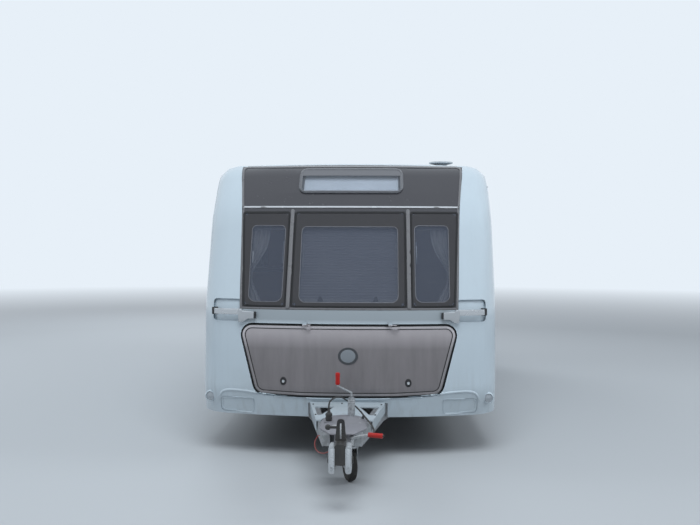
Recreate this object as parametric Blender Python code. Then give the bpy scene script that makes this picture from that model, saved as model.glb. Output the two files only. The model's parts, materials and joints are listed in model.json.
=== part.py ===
"""A single-axle touring caravan, standing level on its road wheels and its jockey wheel.

Metres, +Z up, ground at z = 0. The front faces -Y and the entrance door is on +X.
The body shell is one surface, worked out from a table of stations that runs up the front, over the
roof and down the rear. Every panel, pane and fitting of the shell is a piece of that surface.
"""

import math

import bmesh
import bpy
from mathutils import Matrix, Vector

# Overall sizes
BODY_LENGTH = 5.95
BODY_WIDTH = 2.29
A_FRAME_REACH = 1.33
LENGTH = BODY_LENGTH + A_FRAME_REACH
NOSE = -LENGTH / 2
FRONT = NOSE + A_FRAME_REACH
REAR = LENGTH / 2
HALF_WIDTH = BODY_WIDTH / 2

# Joints between pieces
SEAM = 0.0006
SEAT = 0.0004
OPENING_GAP = 0.006

# Body shell
WALL = 0.030
SKIRT = 0.310
REAR_SKIRT = 0.345
SILL = 1.112
TRIM_LINE = 1.90
ROOF_FRONT = 2.275
ROOF_SEAM_BACK = 0.90
REAR_SEAM_BACK = 5.72
FLOOR_UNDERSIDE = 0.42
FLOOR_THICK = 0.045
FLOOR_TOP = FLOOR_UNDERSIDE + FLOOR_THICK

# Columns: distance behind the front, height, corner radius, bow in plan, side corner radius,
# inward direction in degrees
STATIONS = (
    (0.050, SKIRT, 0.00, 0.20, 0.20, 0),
    (0.000, SKIRT + 0.190, 0.30, 0.20, 0.20, 0),
    (0.030, SILL + 0.018, 0.30, 0.20, 0.20, 0),
    (0.450, TRIM_LINE, 1.20, 0.07, 0.19, -15),
    (0.830, ROOF_FRONT, 0.40, 0.03, 0.17, -52),
    (2.950, ROOF_FRONT + 0.205, 6.00, 0.02, 0.15, -90),
    (4.600, ROOF_FRONT + 0.195, 6.00, 0.02, 0.15, -90),
    (5.780, ROOF_FRONT + 0.065, 0.28, 0.03, 0.14, -132),
    (5.950, 1.200, 3.00, 0.04, 0.13, -180),
    (5.920, REAR_SKIRT, 0.00, 0.04, 0.13, -180),
)
ARC_STEP = 18
CORNER_SHARES = (0.3, 0.65, 1.0)
FLAT_COLUMNS = (0.24, 0.46, 0.67)

# Half width of the dark front panels: at the sill, the trim line and the roof seam
SURROUND_HALVES = (HALF_WIDTH - 0.317, HALF_WIDTH - 0.277, HALF_WIDTH - 0.220)

# Front windows: the outer edge of a side pane leans out from its bottom to its top
PANE_BOTTOM = SILL + 0.024
PANE_TOP = TRIM_LINE - 0.044
PANE_RADIUS = 0.045
PANE_PROUD = 0.004
PANE_THICK = 0.024
CENTRE_PANE_HALF = 0.430
SIDE_PANE_INNER = CENTRE_PANE_HALF + 0.050
SIDE_PANE_OUTER_LOW = SURROUND_HALVES[0] - 0.028
SIDE_PANE_OUTER_HIGH = SURROUND_HALVES[1] - 0.020
SKYLIGHT_HALF = 0.418
SKYLIGHT_BOTTOM = TRIM_LINE + 0.120
SKYLIGHT_TOP = ROOF_FRONT - 0.045
SKYLIGHT_RADIUS = 0.05
SKYLIGHT_PROUD = 0.012

# Gas locker
LID_TOP = SILL - 0.114
LID_BOTTOM = SKIRT + 0.156
LID_CORNER_RISE = 0.016
LID_TOP_HALF = SURROUND_HALVES[0] + 0.006
LID_BOTTOM_HALF = LID_TOP_HALF - 0.140
LID_RADIUS = 0.080
LID_GAP = 0.011
LOCKER_DEPTH = 0.56
LOCKER_SIDE = 0.030
LOCKER_WALL = 0.012
LID_HINGE_OUT = 0.010
LID_HINGE_UP = 0.002
LID_HINGE_PLACES = (-0.34, 0.30)
LID_HINGE_LEAF = 0.030
LID_HINGE_BARREL = 0.006
LID_HINGE_FOOT = 0.030

# Grab handles on the front corners, each in front of a moulded finger pocket
HANDLE_INNER = HALF_WIDTH - 0.440
HANDLE_OUTER = HALF_WIDTH - 0.105
HANDLE_HEIGHT = SILL - 0.010
HANDLE_STAND = 0.030
HANDLE_RADIUS = 0.010
POCKET_INNER = HALF_WIDTH - 0.325
POCKET_OUTER = HALF_WIDTH - 0.100
POCKET_BOTTOM = HANDLE_HEIGHT - 0.082
POCKET_TOP = HANDLE_HEIGHT + 0.085
POCKET_RADIUS = 0.030
POCKET_DEEP = 0.020
BRACKET_DROP = 0.088

# Marker lamps and the recessed panels beside them at the foot of the front
LAMP_HEIGHT = SKIRT + 0.122
LAMP_SHARE = 0.42
LAMP_RADIUS = 0.045
LAMP_LENS_RADIUS = 0.034
LAMP_PROUD = 0.016
LAMP_TURN = 11
RECESS_INNER = HALF_WIDTH - 0.440
RECESS_OUTER = HALF_WIDTH - 0.165
RECESS_BOTTOM = SKIRT + 0.016
RECESS_TOP = SKIRT + 0.134
RECESS_RADIUS = 0.035
RECESS_DEEP = 0.007

# Entrance door, on +X, placed by its distance behind the front
DOOR_START = 2.36
DOOR_WIDTH = 0.64
DOOR_BOTTOM = 0.425
DOOR_TOP = 2.215
DOOR_RADIUS = 0.09
DOOR_HINGE_OUT = 0.014
DOOR_HINGE_HEIGHTS = (0.62, 1.32, 2.02)
DOOR_HINGE_LONG = 0.060
HINGE_BARREL = 0.008
HINGE_REACH = 0.045
DOOR_WINDOW_START = 0.13
DOOR_WINDOW_WIDTH = 0.38
DOOR_WINDOW_BOTTOM = 1.42
DOOR_WINDOW_TOP = 2.02

# Side windows: name, side, start behind the front, length, bottom, top
SIDE_WINDOWS = (
    ("side_window_left_front", -1, 0.86, 0.98, 1.140, 1.700),
    ("side_window_left_kitchen", -1, 2.28, 0.80, 1.440, 1.800),
    ("side_window_left_rear", -1, 4.72, 0.46, 1.440, 1.800),
    ("side_window_right_front", 1, 0.86, 0.98, 1.140, 1.700),
    ("side_window_right_rear", 1, 4.10, 0.86, 1.140, 1.700),
)
SIDE_WINDOW_RADIUS = 0.060
SIDE_WINDOW_PROUD = 0.012

# Rear
REAR_WINDOW_HALF = 0.50
REAR_WINDOW_BOTTOM = 1.360
REAR_WINDOW_TOP = 1.800
REAR_LAMP_INNER = HALF_WIDTH - 0.270
REAR_LAMP_OUTER = HALF_WIDTH - 0.130
REAR_LAMP_BOTTOM = 0.62
REAR_LAMP_TOP = 1.06
REAR_LAMP_PROUD = 0.024
REAR_CORNER_RADIUS = 0.035
BUMPER_HALF = HALF_WIDTH - 0.150
BUMPER_BOTTOM = 0.40
BUMPER_TOP = 0.52

# Service hatch, on -X
HATCH_START = 4.22
HATCH_WIDTH = 0.34
HATCH_BOTTOM = 0.50
HATCH_TOP = 0.84
HATCH_RADIUS = 0.04

# Running gear
AXLE_BACK = 3.55
AXLE_Y = FRONT + AXLE_BACK
WHEEL_RADIUS = 0.315
TYRE_WIDTH = 0.19
WHEEL_OUT = HALF_WIDTH - 0.175
RIM_RADIUS = 0.186
RIM_WIDTH = 0.150
HUB_FACE = 0.012
WHEEL_SIDES = 28
ARCH_RADIUS = 0.372
ARCH_THICK = 0.012
ARCH_INNER = WHEEL_OUT - 0.155
ARCH_TRIM_WIDE = 0.058
ARCH_TRIM_PROUD = 0.014
AXLE_RADIUS = 0.045
DRUM_RADIUS = 0.115
STUB_RADIUS = 0.028

# Chassis rails and A-frame
RAIL_WIDE = 0.048
RAIL_BOTTOM = 0.285
RAIL_TOP = FLOOR_UNDERSIDE - SEAT
RAIL_HALF = 0.60
RAIL_SPREAD_BACK = 1.55
RAIL_END_BACK = 5.60
A_FRAME_HALF = 0.243
A_FRAME_TIP_HALF = 0.100
A_FRAME_TIP = 0.30
A_FRAME_RISE = 0.070
MEMBER_WIDE = 0.040
MEMBER_BACKS = (0.60, 1.55, 2.95, 4.25, 5.45)

# A-frame cover: a plate with a rim down its sides and a round notch for the cap over the drawbar
COVER_REACH = 0.64
COVER_HALF = 0.282
COVER_TIP_HALF = 0.192
COVER_THICK = 0.010
COVER_RIM = 0.062
COVER_RIM_THICK = 0.005
COVER_BOTTOM = RAIL_TOP + SEAT
COVER_HOLE_BACK = 0.18
COVER_HOLE = ((0.088, 0.0), (0.236, 0.0), (0.184, 0.375))

# Overrun housing, drawbar and coupling head, placed by their distance behind the nose
HOUSING_START = 0.30
HOUSING_END = 0.68
HOUSING_HALF = 0.050
HOUSING_BOTTOM = 0.352
CAP_CENTRE = 0.69
CAP_RADIUS = 0.150
CAP_SIDE_HALF = 0.153
CAP_SIDE_START = 0.45
CAP_TIP_HALF = 0.075
CAP_TIP = 0.28
CAP_LEVELS = ((0.0, 1.0), (0.008, 1.0), (0.022, 0.90), (0.031, 0.62))
DRAWBAR_RADIUS = 0.025
DRAWBAR_HEIGHT = 0.392
HEAD_LONG = 0.27
HEAD_HALF = 0.034
HEAD_BOTTOM = 0.300
HEAD_TOP = 0.425
LOBE_OUTER = 0.068
LOBE_BOTTOM = 0.252
LOBE_TOP = 0.412
LOBE_LONG = 0.120
BALL_BACK = 0.075
BALL_RADIUS = 0.026
LEVER_BACK = 0.115
LEVER_BOTTOM_HALF = 0.034
LEVER_TOP_HALF = 0.021
LEVER_THICK = 0.026
LEVER_TOP = 0.552
LEVER_KNOB_X = -0.078
LEVER_KNOB_Z = 0.503

# Parking brake lever
HANDBRAKE_ROUTE = (
    (0.0625, NOSE + 0.400, 0.400),
    (0.0625, NOSE + 0.262, 0.402),
    (0.115, NOSE + 0.235, 0.425),
    (0.168, NOSE + 0.222, 0.436),
    (0.250, NOSE + 0.200, 0.434),
)
LEVER_RADIUS = 0.009
GRIP_RADIUS = 0.014
BOSS_RADIUS = 0.015
BOSS_LONG = 0.032

# Jockey wheel
JOCKEY_X = 0.045
JOCKEY_Y = NOSE + 0.74
JOCKEY_TUBE_RADIUS = 0.024
JOCKEY_TUBE_BOTTOM = 0.355
JOCKEY_TUBE_TOP = 0.562
JOCKEY_LEG_RADIUS = 0.0195
JOCKEY_BORE = 0.0202
JOCKEY_WHEEL_RADIUS = 0.110
JOCKEY_WHEEL_WIDE = 0.060
JOCKEY_TRAIL = 0.035
JOCKEY_TURN = 18
JOCKEY_FORK_TOP = 0.245
JOCKEY_LEG_TOP = 0.428
CLAMP_BOTTOM = 0.362
CLAMP_TOP = 0.414
CLAMP_HALF = 0.034
CLAMP_REACH = 0.1310
CRANK_RADIUS = 0.007
CRANK_OUT = 0.093
CRANK_RISE = 0.085
JOCKEY_SIDES = 24

# Corner steadies: name, side, pivot behind the front, direction along the body
STEADIES = (
    ("steady_front_left", -1, 1.18, -1),
    ("steady_front_right", 1, 1.18, -1),
    ("steady_rear_left", -1, 4.86, 1),
    ("steady_rear_right", 1, 4.86, 1),
)
STEADY_X = HALF_WIDTH - 0.315
STEADY_LONG = 0.46
STEADY_WIDE = 0.050
STEADY_THICK = 0.030
STEADY_PIVOT_THICK = 0.044
STEADY_PIVOT = 0.380
STEADY_FOOT = 0.120

# Towing cable, from its gland on the A-frame to the plug in its holder
GLAND_RADIUS = 0.013
CABLE_DIAMETER = 0.011
CABLE_ROUTE = (
    (0.1500, NOSE + 0.420, 0.385),
    (0.1680, NOSE + 0.420, 0.385),
    (0.1900, NOSE + 0.432, 0.390),
    (0.1980, NOSE + 0.470, 0.408),
    (0.1820, NOSE + 0.525, 0.434),
    (0.1560, NOSE + 0.590, 0.452),
    (0.1320, NOSE + 0.665, 0.464),
    (0.1080, NOSE + 0.735, 0.478),
    (0.0760, NOSE + 0.790, 0.499),
    (0.0380, NOSE + 0.805, 0.524),
    (0.0060, NOSE + 0.775, 0.550),
    (-0.0160, NOSE + 0.710, 0.576),
    (-0.0420, NOSE + 0.630, 0.595),
    (-0.0700, NOSE + 0.568, 0.594),
    (-0.0890, NOSE + 0.539, 0.580),
    (-0.0950, NOSE + 0.530, 0.555),
    (-0.0950, NOSE + 0.530, 0.542),
    (-0.0950, NOSE + 0.530, 0.530),
)
PLUG_RADIUS = 0.023
HOLDER_HEIGHT = 0.456
HOLDER_THICK = 0.006

# Breakaway cable, from its eye on the left of the housing to its clip on the coupling head
BREAKAWAY_DIAMETER = 0.004
BREAKAWAY_ROUTE = (
    (-0.1460, NOSE + 0.420, 0.385),
    (-0.1580, NOSE + 0.414, 0.382),
    (-0.1740, NOSE + 0.370, 0.356),
    (-0.1640, NOSE + 0.300, 0.330),
    (-0.1380, NOSE + 0.235, 0.322),
    (-0.1020, NOSE + 0.192, 0.328),
    (-0.0700, NOSE + 0.176, 0.345),
    (-0.0520, NOSE + 0.175, 0.352),
    (-0.0430, NOSE + 0.175, 0.352),
    (-HEAD_HALF - 2 * SEAT, NOSE + 0.175, 0.352),
)

# Roof fittings, placed by their distance behind the front
ROOF_LIGHTS = (
    ("roof_light_large", 0.0, 3.64, 0.27, 0.36, 0.045),
    ("roof_light_small", 0.0, 4.95, 0.20, 0.20, 0.045),
)
ROOF_LIGHT_LIP = 0.035
AERIAL_BACK = 1.62
AERIAL_X = HALF_WIDTH - 0.345
AERIAL_RADIUS = 0.110
AERIAL_HIGH = 0.030
AERIAL_STEM_RADIUS = 0.055
AERIAL_RIM = 0.012
AERIAL_FLAT = 0.070

# Furniture that shows through the windows
SOFA_START = 0.62
SOFA_LONG = 1.42
SOFA_INNER = HALF_WIDTH - 0.570
SOFA_SEAT = SILL - 0.212
SOFA_BACK_TOP = SILL - 0.012
SOFA_BACK_THICK = 0.150
CHEST_HALF = 0.34
CHEST_END = 1.00
SHELF_TOP = SILL - 0.027
SHELF_THICK = 0.030
KITCHEN_START = 2.16
KITCHEN_LONG = 0.98
KITCHEN_DEEP = 0.52
KITCHEN_TOP = 1.360
PARTITION_BACK = 4.02
PARTITION_THICK = 0.030
PARTITION_TOP = 2.28
DOORWAY_HALF = 0.28
DOORWAY_X = 0.10
DOORWAY_TOP = 2.16

# Finish of each piece: colour, roughness, metallic
LOOKS = {
    "white_panel": ((0.80, 0.81, 0.83, 1.0), 0.30, 0.0),
    "dark_panel": ((0.070, 0.065, 0.068, 1.0), 0.28, 0.0),
    "grey_lid": ((0.205, 0.190, 0.196, 1.0), 0.35, 0.4),
    "smoked_glass": ((0.10, 0.11, 0.14, 1.0), 0.08, 0.0),
    "chrome": ((0.75, 0.75, 0.76, 1.0), 0.12, 1.0),
    "galvanised": ((0.42, 0.43, 0.44, 1.0), 0.50, 0.8),
    "black_plastic": ((0.02, 0.02, 0.022, 1.0), 0.50, 0.0),
    "rubber": ((0.018, 0.018, 0.019, 1.0), 0.80, 0.0),
    "alloy": ((0.60, 0.61, 0.63, 1.0), 0.30, 0.9),
    "red_plastic": ((0.45, 0.02, 0.02, 1.0), 0.40, 0.0),
    "red_lens": ((0.50, 0.02, 0.02, 1.0), 0.15, 0.0),
    "grey_floor": ((0.10, 0.10, 0.10, 1.0), 0.70, 0.0),
    "furniture": ((0.45, 0.33, 0.22, 1.0), 0.45, 0.0),
    "upholstery": ((0.40, 0.37, 0.33, 1.0), 0.90, 0.0),
    "cast_metal": ((0.12, 0.12, 0.125, 1.0), 0.45, 0.6),
    "liner": ((0.03, 0.03, 0.032, 1.0), 0.70, 0.0),
}


def clear_scene():
    for thing in list(bpy.data.objects):
        bpy.data.objects.remove(thing)


def from_faces(name, points, faces):
    """An object with these points and faces, with its faces turned outwards."""
    mesh = bpy.data.meshes.new(name)
    mesh.from_pydata(points, [], faces)
    build = bmesh.new()
    build.from_mesh(mesh)
    bmesh.ops.recalc_face_normals(build, faces=build.faces)
    build.to_mesh(mesh)
    build.free()
    thing = bpy.data.objects.new(name, mesh)
    bpy.context.scene.collection.objects.link(thing)
    return thing


def combine(operation, base, *tools):
    """The base with the tools joined, cut away or kept. The tools are used up, and guides stay."""
    for tool in tools:
        change = base.modifiers.new(operation.title(), "BOOLEAN")
        change.operation = operation
        change.object = tool
        bpy.context.view_layer.objects.active = base
        bpy.ops.object.modifier_apply(modifier=change.name)
        if not tool.hide_render:
            bpy.data.objects.remove(tool)
    return base


def unite(base, *tools):
    return combine("UNION", base, *tools)


def cut(base, *tools):
    return combine("DIFFERENCE", base, *tools)


def keep(base, *tools):
    return combine("INTERSECT", base, *tools)


def new_material(name, look):
    colour, roughness, metallic = LOOKS[look]
    material = bpy.data.materials.new(name)
    material.use_nodes = True
    shader = material.node_tree.nodes["Principled BSDF"]
    shader.inputs["Base Color"].default_value = colour
    shader.inputs["Roughness"].default_value = roughness
    shader.inputs["Metallic"].default_value = metallic
    return material


def complete(thing, look, origin=None):
    """The finished piece: its origin moved to its joint or its middle, its material, and smooth round faces."""
    corners = [Vector(corner) for corner in thing.bound_box]
    middle = (corners[0] + corners[6]) / 2
    place = Vector(origin) if origin else middle
    thing.data.transform(Matrix.Translation(-place))
    thing.location = place
    thing.data.materials.clear()
    thing.data.materials.append(new_material(thing.name, look))
    thing.data.shade_smooth()
    thing.data.set_sharp_from_angle(angle=math.radians(32))
    return thing


def rounded(corners, step=ARC_STEP, closed=True):
    """An outline whose corners, each (a, b, radius), are rounded by arcs."""
    outline = []
    count = len(corners)
    for index, (a, b, radius) in enumerate(corners):
        here = Vector((a, b))
        ends = not closed and index in (0, count - 1)
        if radius == 0 or ends:
            outline.append(here)
            continue
        before = Vector(corners[index - 1][:2]) - here
        after = Vector(corners[(index + 1) % count][:2]) - here
        before.normalize()
        after.normalize()
        half = math.acos(max(-1, min(1, before.dot(after)))) / 2
        reach = radius / math.tan(half)
        centre = here + (before + after).normalized() * (radius / math.sin(half))
        start = here + before * reach - centre
        turn = start.angle_signed(here + after * reach - centre)
        steps = max(1, round(abs(math.degrees(turn)) / step))
        for number in range(steps + 1):
            angle = -turn * number / steps
            spun = Matrix.Rotation(angle, 2) @ start
            outline.append(centre + spun)
    return outline


def rectangle(low_a, low_b, high_a, high_b, radius):
    return rounded([
        (low_a, low_b, radius),
        (high_a, low_b, radius),
        (high_a, high_b, radius),
        (low_a, high_b, radius),
    ])


def circle(centre, radius, sides, turn=0.0):
    """A regular outline whose flats are at the radius."""
    reach = radius / math.cos(math.pi / sides)
    angles = [math.tau * (index + turn) / sides for index in range(sides)]
    return [Vector((centre[0] + reach * math.cos(a), centre[1] + reach * math.sin(a))) for a in angles]


def prism(name, outline, axis, low, high):
    """The outline pushed along an axis: (y, z) along X, (x, z) along Y, (x, y) along Z."""
    place = {
        "X": lambda a, b, c: (c, a, b),
        "Y": lambda a, b, c: (a, c, b),
        "Z": lambda a, b, c: (a, b, c),
    }[axis]
    count = len(outline)
    points = [place(a, b, level) for level in (low, high) for a, b in outline]
    faces = [list(range(count)), list(range(count, 2 * count))]
    for index in range(count):
        after = (index + 1) % count
        faces.append([index, after, count + after, count + index])
    return from_faces(name, points, faces)


def box(name, low, high):
    outline = [(low[0], low[1]), (high[0], low[1]), (high[0], high[1]), (low[0], high[1])]
    return prism(name, outline, "Z", low[2], high[2])


def turned(name, profile, centre, axis, sides, turn=0.5):
    """A profile of (radius, place along the axis) spun round an axis. It is closed, or starts and ends on the axis."""
    u = Vector(axis).normalized()
    v = u.orthogonal().normalized()
    if abs(u.z) < 0.9:
        v = u.cross(Vector((0, 0, 1))).normalized()
    w = u.cross(v)
    points = []
    rings = []
    for radius, along in profile:
        start = len(points)
        number = 1 if radius == 0 else sides
        for index in range(number):
            angle = math.tau * (index + turn) / sides
            points.append(Vector(centre) + u * along + (v * math.cos(angle) + w * math.sin(angle)) * radius)
        rings.append([start + index % number for index in range(sides)])
    on_axis = profile[0][0] == 0
    pairs = list(zip(rings, rings[1:])) if on_axis else list(zip(rings, rings[1:] + rings[:1]))
    faces = []
    for one, two in pairs:
        for index in range(sides):
            after = (index + 1) % sides
            face = [one[index], one[after], two[after], two[index]]
            face = [corner for place, corner in enumerate(face) if corner not in face[:place]]
            if len(face) > 2:
                faces.append(face)
    return from_faces(name, points, faces)


def rod(name, route, radius, sides=10):
    """A round bar along a route, with mitred bends and flat ends."""
    route = [Vector(point) for point in route]
    ways = [(after - before).normalized() for before, after in zip(route, route[1:])]
    side = ways[0].orthogonal().normalized()
    points = []
    for index, place in enumerate(route):
        before = ways[max(0, index - 1)]
        after = ways[min(index, len(ways) - 1)]
        along = (before + after).normalized()
        side = (side - before * side.dot(before)).normalized()
        other = before.cross(side)
        for number in range(sides):
            angle = math.tau * number / sides
            spoke = (side * math.cos(angle) + other * math.sin(angle)) * radius
            # The ring is slid along the bar onto the mitre plane.
            slide = -spoke.dot(along) / before.dot(along)
            points.append(place + spoke + before * slide)
    faces = [list(range(sides)), list(range(len(points) - sides, len(points)))]
    for ring in range(len(route) - 1):
        for number in range(sides):
            after = (number + 1) % sides
            a = ring * sides
            b = a + sides
            faces.append([a + number, a + after, b + after, b + number])
    return from_faces(name, points, faces)


def band(line, wide):
    """A closed outline of even width along an open line of 2-D points."""
    line = [Vector(point) for point in line]
    ways = [(after - before).normalized() for before, after in zip(line, line[1:])]
    left = []
    right = []
    for index, place in enumerate(line):
        before = ways[max(0, index - 1)]
        after = ways[min(index, len(ways) - 1)]
        normal = Vector((-(before + after).y, (before + after).x)).normalized()
        reach = wide / 2 / normal.dot(Vector((-before.y, before.x)))
        left.append(place + normal * reach)
        right.append(place - normal * reach)
    return left + right[::-1]


def smooth_route(route, spacing):
    """Points at an even spacing on one smooth curve through the route."""
    route = [Vector(point) for point in route]
    padded = [2 * route[0] - route[1], *route, 2 * route[-1] - route[-2]]
    fine = []
    for a, b, c, d in zip(padded, padded[1:], padded[2:], padded[3:]):
        for step in range(20):
            t = step / 20
            fine.append(
                0.5 * (2 * b + (c - a) * t + (2 * a - 5 * b + 4 * c - d) * t ** 2
                       + (3 * b - a - 3 * c + d) * t ** 3)
            )
    fine.append(route[-1])
    lengths = [0.0]
    for before, after in zip(fine, fine[1:]):
        lengths.append(lengths[-1] + (after - before).length)
    count = max(2, round(lengths[-1] / spacing))
    even = []
    for number in range(count + 1):
        goal = lengths[-1] * number / count
        index = next(i for i in range(1, len(lengths)) if lengths[i] >= goal - 1e-9)
        share = (goal - lengths[index - 1]) / (lengths[index] - lengths[index - 1])
        even.append(fine[index - 1].lerp(fine[index], share))
    return even


def cord(name, route, diameter, look):
    """A round cable as a curve along its route."""
    points = smooth_route(route, diameter * 3)
    curve = bpy.data.curves.new(name, "CURVE")
    curve.dimensions = "3D"
    curve.bevel_depth = diameter / 2
    curve.bevel_resolution = 2
    curve.use_fill_caps = True
    spline = curve.splines.new("POLY")
    spline.points.add(len(points) - 1)
    for knot, point in zip(spline.points, points):
        knot.co = (*point, 1.0)
    thing = bpy.data.objects.new(name, curve)
    bpy.context.scene.collection.objects.link(thing)
    curve.materials.append(new_material(name, look))
    return thing


# The body shell's surface


def trace_stations():
    """The side view of the shell as (station, y, z). Station 2.5 is halfway between rows 2 and 3."""
    corners = [(FRONT + back, up, radius) for back, up, radius, *_ in STATIONS]
    traced = []
    for index, (y, z, radius) in enumerate(corners):
        here = Vector((y, z))
        if index in (0, len(corners) - 1):
            traced.append((float(index), y, z))
            continue
        before = Vector(corners[index - 1][:2])
        after = Vector(corners[index + 1][:2])
        arc = rounded([(*before, 0), (y, z, radius), (*after, 0)], step=ARC_STEP / 2, closed=False)[1:-1]
        first = (arc[0] - here).length / (before - here).length
        last = (arc[-1] - here).length / (after - here).length
        for number, point in enumerate(arc):
            share = number / max(1, len(arc) - 1)
            traced.append((index - first + (first + last) * share, point.x, point.y))
    return traced


TRACE = trace_stations()


def between(low, high, share):
    return low + (high - low) * share


def station_where(column, value, first, last):
    """The station at which y (column 1) or z (column 2) reaches a value, looked for between two stations."""
    for one, two in zip(TRACE, TRACE[1:]):
        if two[0] <= first or one[0] >= last:
            continue
        low, high = sorted((one[column], two[column]))
        if low <= value <= high and high > low:
            share = (value - one[column]) / (two[column] - one[column])
            return between(one[0], two[0], share)
    raise ValueError(f"the shell has no station with {value}")


def front_station(height):
    return station_where(2, height, 0, 5)


def roof_station(back):
    return station_where(1, FRONT + back, 3, 8)


def rear_station(height):
    return station_where(2, height, 6.5, 9)


def shell_section(station):
    """y, z, bow, side corner radius and inward direction of the shell at a station."""
    row = min(int(station), len(STATIONS) - 2)
    share = station - row
    bow, corner, aim = (between(STATIONS[row][c], STATIONS[row + 1][c], share) for c in (3, 4, 5))
    for one, two in zip(TRACE, TRACE[1:]):
        if one[0] <= station <= two[0]:
            part = (station - one[0]) / (two[0] - one[0])
            return between(one[1], two[1], part), between(one[2], two[2], part), bow, corner, math.radians(aim)
    raise ValueError(f"no station {station}")


def shell_point(station, column, inset):
    """A point of the shell, moved inwards by the inset.

    A column is (side, x, None) or (side, None, corner share), and its x may be a function of the station.
    """
    y, z, bow, corner, aim = shell_section(station)
    side, flat, share = column
    flat = flat(station) if callable(flat) else flat
    radius = corner - inset
    angle = 0.0 if share is None else math.radians(90 * share)
    flat = HALF_WIDTH - corner if flat is None else flat
    x = flat + radius * math.sin(angle)
    widest = flat + corner * math.sin(angle)
    depth = inset + bow * (widest / HALF_WIDTH) ** 2 + radius * (1 - math.cos(angle))
    return Vector((side * x, y + depth * math.cos(aim), z + depth * math.sin(aim)))


def surround_half(station):
    """Half the width of the dark front panels, which widen from the sill up to the roof."""
    places = (front_station(SILL), front_station(TRIM_LINE), roof_station(ROOF_SEAM_BACK))
    for low, high, start, end in zip(places, places[1:], SURROUND_HALVES, SURROUND_HALVES[1:]):
        if station < high:
            return between(start, end, max(0.0, (station - low) / (high - low)))
    return SURROUND_HALVES[-1]


def surround_edge(offset):
    return lambda station: surround_half(station) + offset


def rows_between(first, last):
    inside = [station for station, *_ in TRACE if first + 1e-4 < station < last - 1e-4]
    return [first, *inside, last]


def columns_to(edge, offset=0.0):
    """Columns from -edge to edge on the flat of the shell.

    An edge of "surround" is that of the dark front panels, moved by the offset, and "corner" goes on
    from there over the side corners.
    """
    if edge in ("surround", "corner"):
        right = [(1, x, None) for x in (*FLAT_COLUMNS, surround_edge(offset))]
    else:
        right = [(1, x, None) for x in FLAT_COLUMNS if x < edge - 0.01] + [(1, edge, None)]
    if edge == "corner":
        right += [(1, None, share) for share in (0.0, *CORNER_SHARES)]
    left = [(-1, x, share) for _, x, share in reversed(right)]
    return left + [(1, 0.0, None)] + right


def skin(name, rows, columns, outer, inner, wanted=lambda row, column: True):
    """A thick piece of the shell between two insets, made of the wanted cells of a grid of rows and columns."""
    wide = len(columns)
    points = [shell_point(row, column, inset) for inset in (outer, inner) for row in rows for column in columns]
    layer = len(rows) * wide
    cells = set()
    for r in range(len(rows) - 1):
        for c in range(wide - 1):
            if wanted((rows[r] + rows[r + 1]) / 2, (columns[c], columns[c + 1])):
                cells.add((r, c))
    faces = []
    for r, c in sorted(cells):
        a = r * wide + c
        ring = [a, a + 1, a + wide + 1, a + wide]
        faces.append(ring)
        faces.append([corner + layer for corner in reversed(ring)])
        for beside, one, two in (
            ((r - 1, c), ring[0], ring[1]),
            ((r, c + 1), ring[1], ring[2]),
            ((r + 1, c), ring[2], ring[3]),
            ((r, c - 1), ring[3], ring[0]),
        ):
            if beside not in cells:
                faces.append([two, one, one + layer, two + layer])
    thing = from_faces(name, points, faces)
    drop_loose_points(thing)
    return thing


def drop_loose_points(thing):
    build = bmesh.new()
    build.from_mesh(thing.data)
    loose = [point for point in build.verts if not point.link_faces]
    bmesh.ops.delete(build, geom=loose, context="VERTS")
    build.to_mesh(thing.data)
    build.free()


def shell_volume(name, inset):
    """The whole space inside the shell's surface, moved inwards by the inset, as a guide for cuts."""
    rows = rows_between(0.0, len(STATIONS) - 1.0)
    columns = columns_to("corner")
    wide = len(columns)
    points = [shell_point(row, column, inset) for row in rows for column in columns]
    faces = []
    for r in range(len(rows) - 1):
        for c in range(wide - 1):
            a = r * wide + c
            faces.append([a, a + 1, a + wide + 1, a + wide])
    faces.append([r * wide for r in range(len(rows))])
    faces.append([r * wide + wide - 1 for r in range(len(rows))])
    last = (len(rows) - 1) * wide
    faces.append(list(range(wide)) + [last + c for c in reversed(range(wide))])
    guide = from_faces(name, points, faces)
    guide.hide_render = True
    guide.display_type = "WIRE"
    return guide


def front_cutter(outline, deep=0.9):
    """The outline, in x and z, pushed back through the front of the body."""
    return prism("cutter", outline, "Y", FRONT - 0.2, FRONT + deep)


def side_cutter(outline, side):
    """The outline, in y and z, pushed through one side of the body."""
    low, high = sorted((side * (HALF_WIDTH - 0.2), side * (HALF_WIDTH + 0.2)))
    return prism("cutter", outline, "X", low, high)


def window_rectangle(start, long, bottom, top, radius, grow=0.0):
    return rectangle(FRONT + start - grow, bottom - grow, FRONT + start + long + grow, top + grow, radius + grow)


# Front of the body


def pane_outlines(grow):
    """The three front panes as (name, outline)."""
    bottom = PANE_BOTTOM - grow
    top = PANE_TOP + grow
    radius = PANE_RADIUS + grow
    inner = SIDE_PANE_INNER - grow
    low = SIDE_PANE_OUTER_LOW + grow
    high = SIDE_PANE_OUTER_HIGH + grow
    centre = CENTRE_PANE_HALF + grow
    outlines = [("front_window_centre", rectangle(-centre, bottom, centre, top, radius))]
    for name, side in (("front_window_left", -1), ("front_window_right", 1)):
        corners = [(inner, bottom), (low, bottom), (high, top), (inner, top)]
        outlines.append((name, rounded([(side * x, z, radius) for x, z in corners])))
    return outlines


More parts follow.
